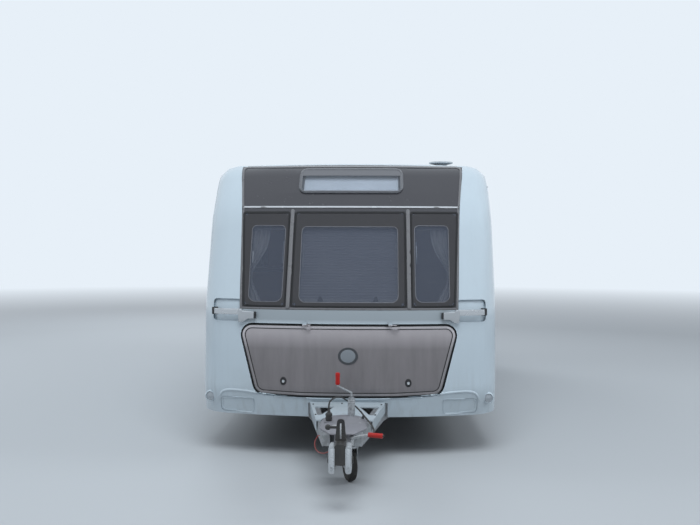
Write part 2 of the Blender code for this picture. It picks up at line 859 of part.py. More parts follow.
def lid_outline(grow):
    """The lid from the front: its sides lean and its foot rises a little to the corners."""
    top = LID_TOP + grow
    bottom = LID_BOTTOM - grow
    radius = LID_RADIUS + grow
    low = LID_BOTTOM_HALF + grow
    high = LID_TOP_HALF + grow
    return rounded([
        (-low, bottom + LID_CORNER_RISE, radius),
        (-low / 2, bottom + LID_CORNER_RISE / 4, 0),
        (low / 2, bottom + LID_CORNER_RISE / 4, 0),
        (low, bottom + LID_CORNER_RISE, radius),
        (high, top, radius),
        (-high, top, radius),
    ])


def skylight_outline(grow):
    return rectangle(
        -SKYLIGHT_HALF - grow, SKYLIGHT_BOTTOM - grow, SKYLIGHT_HALF + grow, SKYLIGHT_TOP + grow,
        SKYLIGHT_RADIUS + grow,
    )


def lid_axis():
    """The straight hinge line of the locker lid, just ahead of the bowed front."""
    surface = shell_point(front_station(LID_TOP), (1, 0.0, None), 0.0)
    return Vector((0.0, surface.y - LID_HINGE_OUT, LID_TOP + LID_HINGE_UP))


def hinge_part(name, x, fixed):
    """Half of a lid hinge: a short barrel on the hinge line, with a leaf to the panel behind it."""
    axis = lid_axis()
    start = x if fixed else x + LID_HINGE_LEAF + SEAM
    end = start + LID_HINGE_LEAF
    barrel = prism("barrel", circle((axis.y, axis.z), LID_HINGE_BARREL, 12), "X", start, end)
    inside = shell_point(front_station(LID_TOP), (1, abs(x) + LID_HINGE_LEAF, None), WALL / 2).y
    low = axis.z if fixed else axis.z - LID_HINGE_FOOT
    high = axis.z + LID_HINGE_FOOT if fixed else axis.z + LID_HINGE_UP
    leaf = box(name, (start, axis.y - LID_HINGE_BARREL / 2, low), (end, inside, high))
    return unite(leaf, barrel)


def marker_lamp(side, middle):
    """The moulded round housing of a front marker lamp, turned a little to its side."""
    centre = shell_point(front_station(LAMP_HEIGHT), (side, None, LAMP_SHARE), 0.0)
    turn = math.radians(LAMP_TURN)
    root = -WALL * 0.4
    profile = (
        (0.0, root), (LAMP_RADIUS, root), (LAMP_RADIUS, LAMP_PROUD / 4), (LAMP_LENS_RADIUS, LAMP_PROUD),
        (0.0, LAMP_PROUD),
    )
    return cut(turned("lamp", profile, centre, (side * math.sin(turn), -math.cos(turn), 0), 20), middle)


def pressed_recess(outline, floor):
    """What a shallow recess takes out of the front: the outline, down to a guide that is its floor."""
    return cut(front_cutter(outline), floor)


def front_recesses():
    """The finger pockets behind the grab handles and the panels at the foot of the front."""
    pocket_floor = shell_volume("guide_pocket", POCKET_DEEP)
    recess_floor = shell_volume("guide_recess", RECESS_DEEP)
    recesses = []
    for side in (-1, 1):
        xs = sorted((side * POCKET_INNER, side * POCKET_OUTER))
        outline = rectangle(xs[0], POCKET_BOTTOM, xs[1], POCKET_TOP, POCKET_RADIUS)
        recesses.append(pressed_recess(outline, pocket_floor))
        xs = sorted((side * RECESS_INNER, side * RECESS_OUTER))
        outline = rectangle(xs[0], RECESS_BOTTOM, xs[1], RECESS_TOP, RECESS_RADIUS)
        recesses.append(pressed_recess(outline, recess_floor))
    return recesses


def make_front_panel():
    """The white moulding: the lower front, with a pillar up each side to the roof."""
    sill = front_station(SILL - SEAM / 2)
    rows = sorted(set(rows_between(0.0, roof_station(ROOF_SEAM_BACK - SEAM / 2))) | {sill})

    def wanted(row, pair):
        return row < sill or not any(isinstance(x, float) for _, x, _ in pair)

    panel = skin("front_panel", rows, columns_to("corner", SEAM / 2), 0.0, WALL, wanted)
    cut(panel, front_cutter(lid_outline(LID_GAP)))
    cut(panel, *front_recesses())
    unite(panel, *(hinge_part("leaf", x, True) for x in LID_HINGE_PLACES))
    middle = shell_volume("guide_middle", WALL / 2)
    unite(panel, marker_lamp(-1, middle), marker_lamp(1, middle))
    room = COVER_HALF + 2.5 * OPENING_GAP
    cut(panel, box("notch", (-room, FRONT - 0.1, SKIRT - 0.1), (room, FRONT + 0.2, COVER_BOTTOM)))
    return complete(panel, "white_panel")


def make_front_surround():
    """The dark band round the front windows."""
    rows = rows_between(front_station(SILL + SEAM / 2), front_station(TRIM_LINE - SEAM / 2))
    surround = skin("front_surround", rows, columns_to("surround", -SEAM / 2), 0.0, WALL)
    cut(surround, *(front_cutter(outline) for _, outline in pane_outlines(SEAM)))
    return complete(surround, "dark_panel")


def make_front_upper_panel():
    rows = rows_between(front_station(TRIM_LINE + SEAM / 2), roof_station(ROOF_SEAM_BACK - SEAM / 2))
    panel = skin("front_upper_panel", rows, columns_to("surround", -SEAM / 2), 0.0, WALL)
    cut(panel, front_cutter(skylight_outline(SEAM)))
    return complete(panel, "dark_panel")


def make_front_windows():
    """Each pane is a double sheet of acrylic that follows the front's bow and stands a little proud."""
    rows = rows_between(front_station(PANE_BOTTOM - 0.02), front_station(PANE_TOP + 0.02))
    for name, outline in pane_outlines(0.0):
        pane = skin(name, rows, columns_to("surround", -0.01), -PANE_PROUD, PANE_THICK - PANE_PROUD)
        complete(keep(pane, front_cutter(outline)), "smoked_glass")
    rows = rows_between(front_station(SKYLIGHT_BOTTOM - 0.03), front_station(SKYLIGHT_TOP + 0.03))
    columns = columns_to(SKYLIGHT_HALF + 0.02)
    light = skin("front_skylight", rows, columns, -SKYLIGHT_PROUD, PANE_THICK - SKYLIGHT_PROUD)
    complete(keep(light, front_cutter(skylight_outline(0.0))), "smoked_glass")


def make_locker_lid():
    rows = rows_between(front_station(LID_BOTTOM - 0.02), front_station(LID_TOP + 0.02))
    lid = skin("gas_locker_lid", rows, columns_to(LID_TOP_HALF + 0.02), 0.0, WALL)
    keep(lid, front_cutter(lid_outline(0.0)))
    unite(lid, *(hinge_part("leaf", x, False) for x in LID_HINGE_PLACES))
    return complete(lid, "grey_lid", lid_axis())


def make_locker_box(inside):
    """The tray and walls behind the lid, open at the front."""
    half = LID_TOP_HALF + LOCKER_SIDE
    bottom = FLOOR_TOP + SEAT
    top = SHELF_TOP - SHELF_THICK - SEAT
    back = FRONT + LOCKER_DEPTH
    ahead = FRONT - WALL
    tub = box("gas_locker_box", (-half, ahead, bottom), (half, back, top))
    wall = LOCKER_WALL
    low = (-half + wall, ahead - wall, bottom + wall)
    space = box("space", low, (half - wall, back - wall, top - wall))
    keep(tub, inside)
    return complete(cut(tub, space), "liner")


def handle_column(side, x):
    """The column of the shell at a distance from the middle line, on the flat or on the corner."""
    corner = STATIONS[1][4]
    flat = HALF_WIDTH - corner
    if x <= flat:
        return side, x, None
    return side, None, math.degrees(math.asin(min(1.0, (x - flat) / corner))) / 90


def make_grab_handle(name, side, outside):
    """A bar across the finger pocket, let into the corner outside and ending inside in a flared bracket."""
    station = front_station(HANDLE_HEIGHT)
    steps = 5
    stand = Vector((0, -HANDLE_STAND, 0))
    xs = [between(HANDLE_INNER + 0.02, HANDLE_OUTER, step / steps) for step in range(steps + 1)]
    route = [shell_point(station, handle_column(side, x), 0.0) + stand for x in xs]
    handle = rod(name, route, HANDLE_RADIUS)
    end = route[-1]
    unite(handle, rod("foot", (end - stand * 0.1, end - stand * 2.2), HANDLE_RADIUS * 1.3))
    inner = HANDLE_INNER
    root = POCKET_INNER - 0.004
    height = HANDLE_HEIGHT
    outline = rounded([
        (side * inner, height - 0.022, 0.018),
        (side * (inner + 0.055), height - 0.034, 0.03),
        (side * (root - 0.012), height - BRACKET_DROP, 0.004),
        (side * root, height - BRACKET_DROP, 0.004),
        (side * root, height + 0.012, 0.0),
        (side * inner, height + 0.018, 0.018),
    ])
    face = min(route[0].y, route[1].y) - HANDLE_RADIUS
    bracket = prism("bracket", outline, "Y", face + 0.008, face + 0.12)
    unite(handle, bracket)
    return complete(cut(handle, outside), "chrome")


# Sides, roof, rear and floor


def side_edge(first, last):
    """The shell's side view between two stations, at the edge where the side corners end."""
    edge = []
    for station in rows_between(first, last):
        y, z, bow, corner, aim = shell_section(station)
        depth = bow + corner + SEAM
        edge.append(Vector((y + depth * math.cos(aim), z + depth * math.sin(aim))))
    return edge


def arch_outline(radius, bottom, inner=None, steps=20):
    """A half ring, or a half disc, round the wheel centre in y and z, with legs down to a height."""
    centre = Vector((AXLE_Y, WHEEL_RADIUS))
    angles = [math.pi * step / steps for step in range(steps + 1)]
    ring = [centre + radius * Vector((math.cos(angle), math.sin(angle))) for angle in angles]
    if bottom < WHEEL_RADIUS:
        outer = [Vector((ring[0].x, bottom)), *ring, Vector((ring[-1].x, bottom))]
    else:
        first = next(index for index, point in enumerate(ring) if point.y > bottom)
        before, after = ring[first - 1], ring[first]
        start = before.lerp(after, (bottom - before.y) / (after.y - before.y))
        outer = [start, *ring[first:len(ring) - first], Vector((2 * AXLE_Y - start.x, bottom))]
    if inner is None:
        return outer
    return outer + arch_outline(inner, bottom, None, steps)[::-1]


def make_side_wall(name, side):
    """A flat sandwich panel with its windows, its wheel arch and its door or hatch cut out."""
    outline = side_edge(0.0, len(STATIONS) - 1.0)
    low, high = sorted((side * (HALF_WIDTH - WALL), side * HALF_WIDTH))
    wall = prism(name, outline, "X", low, high)
    for _, where, start, long, bottom, top in SIDE_WINDOWS:
        if where == side:
            opening = window_rectangle(start, long, bottom, top, SIDE_WINDOW_RADIUS, SEAM)
            cut(wall, side_cutter(opening, side))
    cut(wall, side_cutter(arch_outline(ARCH_RADIUS + ARCH_THICK + SEAM, 0.1), side))
    if side > 0:
        door = window_rectangle(DOOR_START, DOOR_WIDTH, DOOR_BOTTOM, DOOR_TOP, DOOR_RADIUS, OPENING_GAP)
        cut(wall, side_cutter(door, side))
        unite(wall, *(door_hinge("leaf", height, True) for height in DOOR_HINGE_HEIGHTS))
    else:
        hatch = window_rectangle(HATCH_START, HATCH_WIDTH, HATCH_BOTTOM, HATCH_TOP, HATCH_RADIUS, OPENING_GAP)
        cut(wall, side_cutter(hatch, side))
        unite(wall, hatch_hinge("leaf", True))
    return complete(wall, "white_panel")


def make_side_windows():
    """Each is an acrylic pane set in its opening and standing proud of the wall."""
    for name, side, start, long, bottom, top in SIDE_WINDOWS:
        outline = window_rectangle(start, long, bottom, top, SIDE_WINDOW_RADIUS)
        ends = (side * (HALF_WIDTH + SIDE_WINDOW_PROUD - PANE_THICK), side * (HALF_WIDTH + SIDE_WINDOW_PROUD))
        complete(prism(name, outline, "X", min(ends), max(ends)), "smoked_glass")


def make_roof():
    rows = rows_between(roof_station(ROOF_SEAM_BACK + SEAM / 2), roof_station(REAR_SEAM_BACK - SEAM / 2))
    roof = skin("roof", rows, columns_to("corner"), 0.0, WALL)
    for _, x, back, half_long, half_wide, _ in ROOF_LIGHTS:
        hole = rectangle(
            x - half_wide, FRONT + back - half_long, x + half_wide, FRONT + back + half_long, 0.05
        )
        cut(roof, prism("hole", hole, "Z", 2.2, 2.7))
    return complete(roof, "white_panel")


def make_roof_light(name, x, back, half_long, half_wide, high, outside):
    """A dome with a flange on the roof, round a collar that drops through the roof's opening."""
    y = FRONT + back
    lip = ROOF_LIGHT_LIP
    crown = shell_point(roof_station(back), (1, 0.0, None), 0.0).z
    flange = prism(
        name,
        rectangle(x - half_wide - lip, y - half_long - lip, x + half_wide + lip, y + half_long + lip, 0.06),
        "Z", crown - 0.04, crown + 0.018,
    )
    cut(flange, outside)
    dome = prism(
        "dome", rectangle(x - half_wide, y - half_long, x + half_wide, y + half_long, 0.07), "Z",
        crown + 0.010, crown + high,
    )
    taper_top(dome, (x, y), 0.86)
    inner = SEAM
    collar = prism(
        "collar",
        rectangle(x - half_wide + inner, y - half_long + inner, x + half_wide - inner, y + half_long - inner, 0.05),
        "Z", crown - WALL - 0.012, crown + 0.012,
    )
    return complete(unite(flange, dome, collar), "smoked_glass")


def taper_top(thing, centre, share):
    """The upper points drawn in towards a centre."""
    heights = [point.co.z for point in thing.data.vertices]
    middle = (min(heights) + max(heights)) / 2
    for point in thing.data.vertices:
        if point.co.z > middle:
            point.co.x = centre[0] + (point.co.x - centre[0]) * share
            point.co.y = centre[1] + (point.co.y - centre[1]) * share


def make_aerial(outside):
    """A low round television aerial on the roof."""
    y = FRONT + AERIAL_BACK
    base = shell_point(roof_station(AERIAL_BACK), (1, AERIAL_X, None), 0.0).z
    profile = (
        (0.0, -WALL), (AERIAL_STEM_RADIUS, -WALL), (AERIAL_STEM_RADIUS, AERIAL_HIGH - 2 * AERIAL_RIM),
        (AERIAL_RADIUS, AERIAL_HIGH - 1.2 * AERIAL_RIM), (AERIAL_RADIUS, AERIAL_HIGH - 0.2 * AERIAL_RIM),
        (AERIAL_FLAT, AERIAL_HIGH), (0.0, AERIAL_HIGH),
    )
    dish = turned("roof_aerial", profile, (AERIAL_X, y, base), (0, 0, 1), 24)
    return complete(cut(dish, outside), "white_panel")


def rear_window_outline(grow):
    return rectangle(
        -REAR_WINDOW_HALF - grow, REAR_WINDOW_BOTTOM - grow, REAR_WINDOW_HALF + grow, REAR_WINDOW_TOP + grow,
        SIDE_WINDOW_RADIUS + grow,
    )


def rear_cutter(outline, deep=0.5):
    return prism("cutter", outline, "Y", REAR - deep, REAR + 0.2)


def make_rear_panel():
    """The rear moulding with its window opening."""
    rows = rows_between(roof_station(REAR_SEAM_BACK + SEAM / 2), len(STATIONS) - 1.0)
    panel = skin("rear_panel", rows, columns_to("corner"), 0.0, WALL)
    cut(panel, rear_cutter(rear_window_outline(SEAM)))
    return complete(panel, "white_panel")


def make_rear_window():
    rows = rows_between(rear_station(REAR_WINDOW_TOP + 0.03), rear_station(REAR_WINDOW_BOTTOM - 0.03))
    pane = skin("rear_window", rows, columns_to(REAR_WINDOW_HALF + 0.02), -PANE_PROUD, PANE_THICK - PANE_PROUD)
    return complete(keep(pane, rear_cutter(rear_window_outline(0.0))), "smoked_glass")


def make_rear_lamp(name, side, outside):
    """A tall lamp cluster on the rear corner."""
    xs = sorted((side * REAR_LAMP_INNER, side * REAR_LAMP_OUTER))
    outline = rectangle(xs[0], REAR_LAMP_BOTTOM, xs[1], REAR_LAMP_TOP, REAR_CORNER_RADIUS)
    surface = shell_point(rear_station(REAR_LAMP_TOP), (1, REAR_LAMP_INNER, None), 0.0).y
    lamp = prism(name, outline, "Y", surface - 0.10, surface + REAR_LAMP_PROUD)
    return complete(cut(lamp, outside), "red_lens")


def make_bumper(outside):
    """A shallow bumper bar across the foot of the rear moulding."""
    outline = rectangle(-BUMPER_HALF, BUMPER_BOTTOM, BUMPER_HALF, BUMPER_TOP, REAR_CORNER_RADIUS)
    bar = prism("rear_bumper", outline, "Y", REAR - 0.15, REAR)
    return complete(cut(bar, outside), "white_panel")


def make_floor(inside):
    """A sandwich board across the whole body, notched round the wheels."""
    floor = box("floor", (-HALF_WIDTH, FRONT, FLOOR_UNDERSIDE), (HALF_WIDTH, REAR, FLOOR_TOP))
    keep(floor, inside)
    reach = ARCH_RADIUS + ARCH_THICK + SEAM
    for side in (-1, 1):
        xs = sorted((side * (ARCH_INNER - SEAM), side * (HALF_WIDTH + 0.1)))
        cut(floor, box("notch", (xs[0], AXLE_Y - reach, 0.3), (xs[1], AXLE_Y + reach, 0.6)))
    return complete(floor, "grey_floor")


def make_wheel_arch(name, side):
    """The liner over a wheel, with an inner cheek above the floor and a trim on the outside of the wall."""
    outer = ARCH_RADIUS + ARCH_THICK
    lap = 0.003
    xs = sorted((side * (ARCH_INNER + lap), side * (HALF_WIDTH + ARCH_TRIM_PROUD - lap)))
    arch = prism(name, arch_outline(outer, FLOOR_UNDERSIDE, ARCH_RADIUS), "X", *xs)
    cheek_xs = sorted((side * ARCH_INNER, side * (ARCH_INNER + ARCH_THICK)))
    cheek = prism("cheek", arch_outline(outer - lap, FLOOR_UNDERSIDE + lap), "X", *cheek_xs)
    trim_xs = sorted((side * (HALF_WIDTH + SEAT), side * (HALF_WIDTH + ARCH_TRIM_PROUD)))
    trim = arch_outline(ARCH_RADIUS + ARCH_TRIM_WIDE, SKIRT + 0.01, ARCH_RADIUS + ARCH_THICK / 3)
    return complete(unite(arch, cheek, prism("trim", trim, "X", *trim_xs)), "white_panel")


# Doors


def door_axis():
    return Vector((HALF_WIDTH + DOOR_HINGE_OUT, FRONT + DOOR_START - OPENING_GAP / 2, 0.0))


def door_hinge(name, height, fixed):
    """Half of a door hinge: a barrel on the hinge line and a leaf on the wall or on the door."""
    axis = door_axis()
    low = height if fixed else height + DOOR_HINGE_LONG / 2 + SEAM
    high = low + DOOR_HINGE_LONG / 2
    barrel = prism("barrel", circle((axis.x, axis.y), HINGE_BARREL, 12), "Z", low, high)
    reach = -HINGE_REACH if fixed else HINGE_REACH
    ys = sorted((axis.y + reach, axis.y + (0.0 if fixed else 0.001)))
    leaf = box(name, (HALF_WIDTH - 0.004, ys[0], low), (axis.x + 0.002, ys[1], high))
    return unite(leaf, barrel)


def make_door():
    outline = window_rectangle(DOOR_START, DOOR_WIDTH, DOOR_BOTTOM, DOOR_TOP, DOOR_RADIUS)
    door = prism("entrance_door", outline, "X", HALF_WIDTH - WALL, HALF_WIDTH)
    cut(door, side_cutter(door_window_outline(SEAM), 1))
    unite(door, *(door_hinge("leaf", height, False) for height in DOOR_HINGE_HEIGHTS))
    complete(door, "white_panel", door_axis() + Vector((0, 0, DOOR_BOTTOM)))
    ends = (HALF_WIDTH + PANE_PROUD - PANE_THICK, HALF_WIDTH + PANE_PROUD)
    pane = prism("door_window", door_window_outline(0.0), "X", *ends)
    complete(pane, "smoked_glass", door_axis() + Vector((0, 0, DOOR_BOTTOM)))


def door_window_outline(grow):
    start = DOOR_START + DOOR_WINDOW_START
    return window_rectangle(start, DOOR_WINDOW_WIDTH, DOOR_WINDOW_BOTTOM, DOOR_WINDOW_TOP, 0.05, grow)


def hatch_axis():
    return Vector((-HALF_WIDTH - DOOR_HINGE_OUT, FRONT + HATCH_START - OPENING_GAP / 2, 0.0))


def hatch_hinge(name, fixed):
    axis = hatch_axis()
    middle = (HATCH_BOTTOM + HATCH_TOP) / 2
    low = middle - DOOR_HINGE_LONG if fixed else middle + SEAM
    high = low + DOOR_HINGE_LONG
    barrel = prism("barrel", circle((axis.x, axis.y), HINGE_BARREL, 12), "Z", low, high)
    reach = -HINGE_REACH if fixed else HINGE_REACH
    ys = sorted((axis.y + reach, axis.y + (0.0 if fixed else 0.001)))
    leaf = box(name, (axis.x - 0.002, ys[0], low), (-HALF_WIDTH + 0.004, ys[1], high))
    return unite(leaf, barrel)


def make_hatch():
    outline = window_rectangle(HATCH_START, HATCH_WIDTH, HATCH_BOTTOM, HATCH_TOP, HATCH_RADIUS)
    hatch = prism("service_hatch", outline, "X", -HALF_WIDTH, -HALF_WIDTH + WALL)
    unite(hatch, hatch_hinge("leaf", False))
    return complete(hatch, "white_panel", hatch_axis() + Vector((0, 0, HATCH_BOTTOM)))


# Chassis and running gear


def make_chassis():
    """Two rails that draw together into the A-frame, with cross members, in galvanised steel."""
    line = [
        (A_FRAME_TIP_HALF, NOSE + A_FRAME_TIP),
        (A_FRAME_HALF, FRONT),
        (RAIL_HALF, FRONT + RAIL_SPREAD_BACK),
        (RAIL_HALF, FRONT + RAIL_END_BACK),
    ]
    rails = []
    for side in (-1, 1):
        plan = band([(side * x, y) for x, y in line], RAIL_WIDE)
        rails.append(prism("chassis", plan, "Z", RAIL_BOTTOM, RAIL_TOP))
    frame = rails[0]
    members = []
    for back in MEMBER_BACKS:
        share = min(1.0, back / RAIL_SPREAD_BACK)
        half = between(A_FRAME_HALF, RAIL_HALF, share)
        y = FRONT + back
        low = (-half, y - MEMBER_WIDE / 2, RAIL_BOTTOM + 0.012)
        members.append(box("member", low, (half, y + MEMBER_WIDE / 2, RAIL_TOP - 0.004)))
    unite(frame, members[0], rails[1], *members[1:])
    axle_room = prism("room", circle((AXLE_Y, WHEEL_RADIUS), AXLE_RADIUS + SEAT, 16, 0.5), "X", -1, 1)
    cut(frame, axle_room)
    # The rails get shallower ahead of the body.
    wedge = [
        (NOSE, RAIL_BOTTOM - 0.1), (FRONT + 0.2, RAIL_BOTTOM - 0.1), (FRONT + 0.2, RAIL_BOTTOM),
        (NOSE + A_FRAME_TIP - 0.2, RAIL_BOTTOM + A_FRAME_RISE), (NOSE, RAIL_BOTTOM + A_FRAME_RISE),
    ]
    cut(frame, prism("wedge", wedge, "X", -0.5, 0.5))
    for _, side, back, _ in STEADIES:
        unite(frame, steady_bracket(side, FRONT + back))
    unite(frame, cable_gland())
    return complete(frame, "galvanised")


def cable_gland():
    """The gland on the outside of the right A-frame rail, where the towing cable comes out."""
    exit_point = Vector(CABLE_ROUTE[0])
    profile = (
        (0.0, -0.03), (GLAND_RADIUS, -0.03), (GLAND_RADIUS, -0.008), (GLAND_RADIUS * 0.6, -2 * SEAT),
        (0.0, -2 * SEAT),
    )
    return turned("gland", profile, exit_point, (1, 0, 0), 12)


def make_axle():
    """The axle tube, with a brake drum and a stub to each wheel."""
    inner = WHEEL_OUT - RIM_WIDTH / 2 - 0.02
    axle = prism("axle", circle((AXLE_Y, WHEEL_RADIUS), AXLE_RADIUS, 16, 0.5), "X", -inner, inner)
    for side in (-1, 1):
        stub_xs = sorted((side * (inner - 0.03), side * (WHEEL_OUT + HUB_FACE - SEAT)))
        stub = prism("stub", circle((AXLE_Y, WHEEL_RADIUS), STUB_RADIUS, 12, 0.5), "X", *stub_xs)
        drum_xs = sorted((side * (inner - 0.01), side * (inner + 0.05)))
        drum = prism("drum", circle((AXLE_Y, WHEEL_RADIUS), DRUM_RADIUS, 20, 0.5), "X", *drum_xs)
        unite(axle, drum, stub)
    return complete(axle, "cast_metal")


def make_wheel(side_name, side):
    """A radial tyre on a five-spoke alloy rim."""
    centre = Vector((side * WHEEL_OUT, AXLE_Y, WHEEL_RADIUS))
    flat = WHEEL_RADIUS / math.cos(math.pi / WHEEL_SIDES)
    half = TYRE_WIDTH / 2
    profile = (
        (RIM_RADIUS + SEAT, -half * 0.78), (RIM_RADIUS + 0.03, -half * 0.96), (RIM_RADIUS + 0.07, -half),
        (flat - 0.022, -half * 0.93), (flat, -half * 0.78), (flat, half * 0.78), (flat - 0.022, half * 0.93),
        (RIM_RADIUS + 0.07, half), (RIM_RADIUS + 0.03, half * 0.96), (RIM_RADIUS + SEAT, half * 0.78),
    )
    tyre = turned(f"tyre_{side_name}", profile, centre, (side, 0, 0), WHEEL_SIDES)
    complete(tyre, "rubber", centre)
    wide = RIM_WIDTH / 2
    profile = (
        (0.0, HUB_FACE), (0.060, HUB_FACE), (0.075, 0.030), (RIM_RADIUS - 0.030, 0.045), (RIM_RADIUS - 0.018, -wide),
        (RIM_RADIUS, -wide), (RIM_RADIUS, wide), (RIM_RADIUS - 0.014, wide), (RIM_RADIUS - 0.030, 0.064),
        (0.070, 0.050), (0.058, 0.058), (0.0, 0.058),
    )
    rim = turned(f"rim_{side_name}", profile, centre, (side, 0, 0), WHEEL_SIDES)
    for number in range(5):
        angle = math.tau * (number + 0.5) / 5
        window = [
            (0.085, 0.20), (0.152, 0.42), (0.152, -0.42), (0.085, -0.20),
        ]
        outline = [
            (centre.y + r * math.cos(angle + a), centre.z + r * math.sin(angle + a)) for r, a in window
        ]
        xs = sorted((centre.x - 0.2, centre.x + 0.2))
        cut(rim, prism("window", outline, "X", *xs))
    return complete(rim, "alloy", centre)


def steady_bracket(side, y):
    """The plate from the rail to a steady's pivot."""
    xs = sorted((side * (RAIL_HALF - 0.01), side * (STEADY_X - STEADY_WIDE / 2 - SEAT)))
    if y < FRONT + RAIL_SPREAD_BACK:
        share = (y - FRONT) / RAIL_SPREAD_BACK
        xs = sorted((side * between(A_FRAME_HALF, RAIL_HALF, share), xs[0] if side < 0 else xs[1]))
    return box("bracket", (xs[0], y - 0.03, STEADY_PIVOT - 0.02), (xs[1], y + 0.03, RAIL_TOP - 0.002))


def make_steady(name, side, back, way):
    """A pressed leg with a foot, folded up level under the floor."""
    y = FRONT + back
    xs = (side * STEADY_X - STEADY_WIDE / 2, side * STEADY_X + STEADY_WIDE / 2)
    near = y - way * 0.02
    far = y + way * STEADY_LONG
    outline = rounded([
        (near, STEADY_PIVOT - STEADY_PIVOT_THICK / 2, 0.015), (far, STEADY_PIVOT - STEADY_THICK / 2, 0.0),
        (far, STEADY_PIVOT + STEADY_THICK / 2, 0.0), (near, STEADY_PIVOT + STEADY_PIVOT_THICK / 2, 0.015),
    ])
    leg = prism(name, outline, "X", *xs)
    foot_ys = sorted((y + way * (STEADY_LONG - 0.012), y + way * (STEADY_LONG + 0.008)))
    half = STEADY_FOOT / 2
    foot = box(
        "foot", (side * STEADY_X - half, foot_ys[0], STEADY_PIVOT - 0.035),
        (side * STEADY_X + half, foot_ys[1], STEADY_PIVOT + 0.025),
    )
    return complete(unite(leg, foot), "galvanised", (side * STEADY_X, y, STEADY_PIVOT))


# Drawbar and jockey wheel


def make_a_frame_cover():
    """The white moulding on the A-frame, with a triangular opening on each side and a rim down its sides."""
    tip = FRONT - COVER_REACH
    back = shell_point(front_station(COVER_BOTTOM), (1, 0.0, None), 0.0).y - 0.004
    corners = [(COVER_HALF, back), (COVER_TIP_HALF, tip), (-COVER_TIP_HALF, tip), (-COVER_HALF, back)]
    past = 0.1
    lean = (COVER_HALF - COVER_TIP_HALF) / (back - tip) * past
    inner = [
        (COVER_HALF - COVER_RIM_THICK + lean, back + past),
        (COVER_TIP_HALF - COVER_RIM_THICK - lean, tip - past),
    ]
    inner += [(-x, y) for x, y in reversed(inner)]
    top = COVER_BOTTOM + COVER_THICK
    outline = rounded([(*corner, 0.02) for corner in corners])
    cover = prism("a_frame_cover", outline, "Z", COVER_BOTTOM - COVER_RIM, top)
    cut(cover, prism("room", inner, "Z", COVER_BOTTOM - COVER_RIM - 0.1, COVER_BOTTOM))
    for side in (-1, 1):
        hole = rounded([(side * x, back - COVER_HOLE_BACK - forward, 0.015) for x, forward in COVER_HOLE])
        cut(cover, prism("hole", hole, "Z", COVER_BOTTOM - 0.05, top + 0.1))
    notch = circle((0.0, NOSE + CAP_CENTRE), CAP_RADIUS + 0.004, 32)
    cut(cover, prism("notch", notch, "Z", COVER_BOTTOM - 0.05, top + 0.1))
    return complete(cover, "white_panel")


def cap_outline():
    """The cap over the drawbar in plan: round behind, straight past the rails, drawn in to the tip."""
    steps = 10
    angles = [math.pi * step / steps for step in range(steps + 1)]
    middle = NOSE + CAP_CENTRE
    round_back = [(CAP_RADIUS * math.cos(angle), middle + CAP_RADIUS * math.sin(angle)) for angle in angles]
    ahead = [(-CAP_SIDE_HALF, NOSE + CAP_SIDE_START), (-CAP_TIP_HALF, NOSE + CAP_TIP)]
    return [Vector(point) for point in (*round_back, *ahead, *((-x, y) for x, y in reversed(ahead)))]


def crowned(name, outline, centre, base, levels):
    """A low dome: the outline repeated at each level (height above the base, share of its size)."""
    centre = Vector(centre)
    points = []
    faces = []
    count = len(outline)
    for number, (up, share) in enumerate(levels):
        points += [(*(centre + (Vector(point) - centre) * share), base + up) for point in outline]
        if number:
            for index in range(count):
                after = (index + 1) % count
                low = (number - 1) * count
                faces.append([low + index, low + after, low + count + after, low + count + index])
    faces += [list(range(count)), list(range(len(points) - count, len(points)))]
    return from_faces(name, points, faces)


def make_overrun_housing():
    """The housing that the drawbar slides in, under a crowned cap that is bolted to the rails."""
    start = NOSE + HOUSING_START
    end = NOSE + HOUSING_END
    half = HOUSING_HALF
    top = COVER_BOTTOM + CAP_LEVELS[1][0]
    outline = rectangle(-half, HOUSING_BOTTOM, half, top, 0.004)
    housing = prism("overrun_housing", outline, "Y", start, end)
    cap = crowned("cap", cap_outline(), (0.0, NOSE + CAP_SIDE_START + 0.06), COVER_BOTTOM, CAP_LEVELS)
    bore = prism("bore", circle((0, DRAWBAR_HEIGHT), DRAWBAR_RADIUS + SEAT, 16), "Y", start - 0.1, end - 0.05)
    round_hole = circle((JOCKEY_X, JOCKEY_Y), JOCKEY_TUBE_RADIUS + SEAT, JOCKEY_SIDES)
    jockey_hole = prism("hole", round_hole, "Z", HOUSING_BOTTOM - 0.1, JOCKEY_TUBE_TOP)
    plug = Vector(CABLE_ROUTE[-1])
    reach = PLUG_RADIUS + 0.006
    tab_low = (plug.x - reach, plug.y - reach, HOLDER_HEIGHT - HOLDER_THICK)
    tab = box("tab", tab_low, (plug.x + reach, plug.y + reach, HOLDER_HEIGHT))
    post_low = (plug.x + reach / 2, plug.y - reach / 2, COVER_BOTTOM + 0.004)
    post = box("post", post_low, (plug.x + reach, plug.y + reach / 2, HOLDER_HEIGHT))
    cut(unite(housing, cap), bore, jockey_hole)
    return complete(unite(housing, unite(tab, post)), "galvanised")


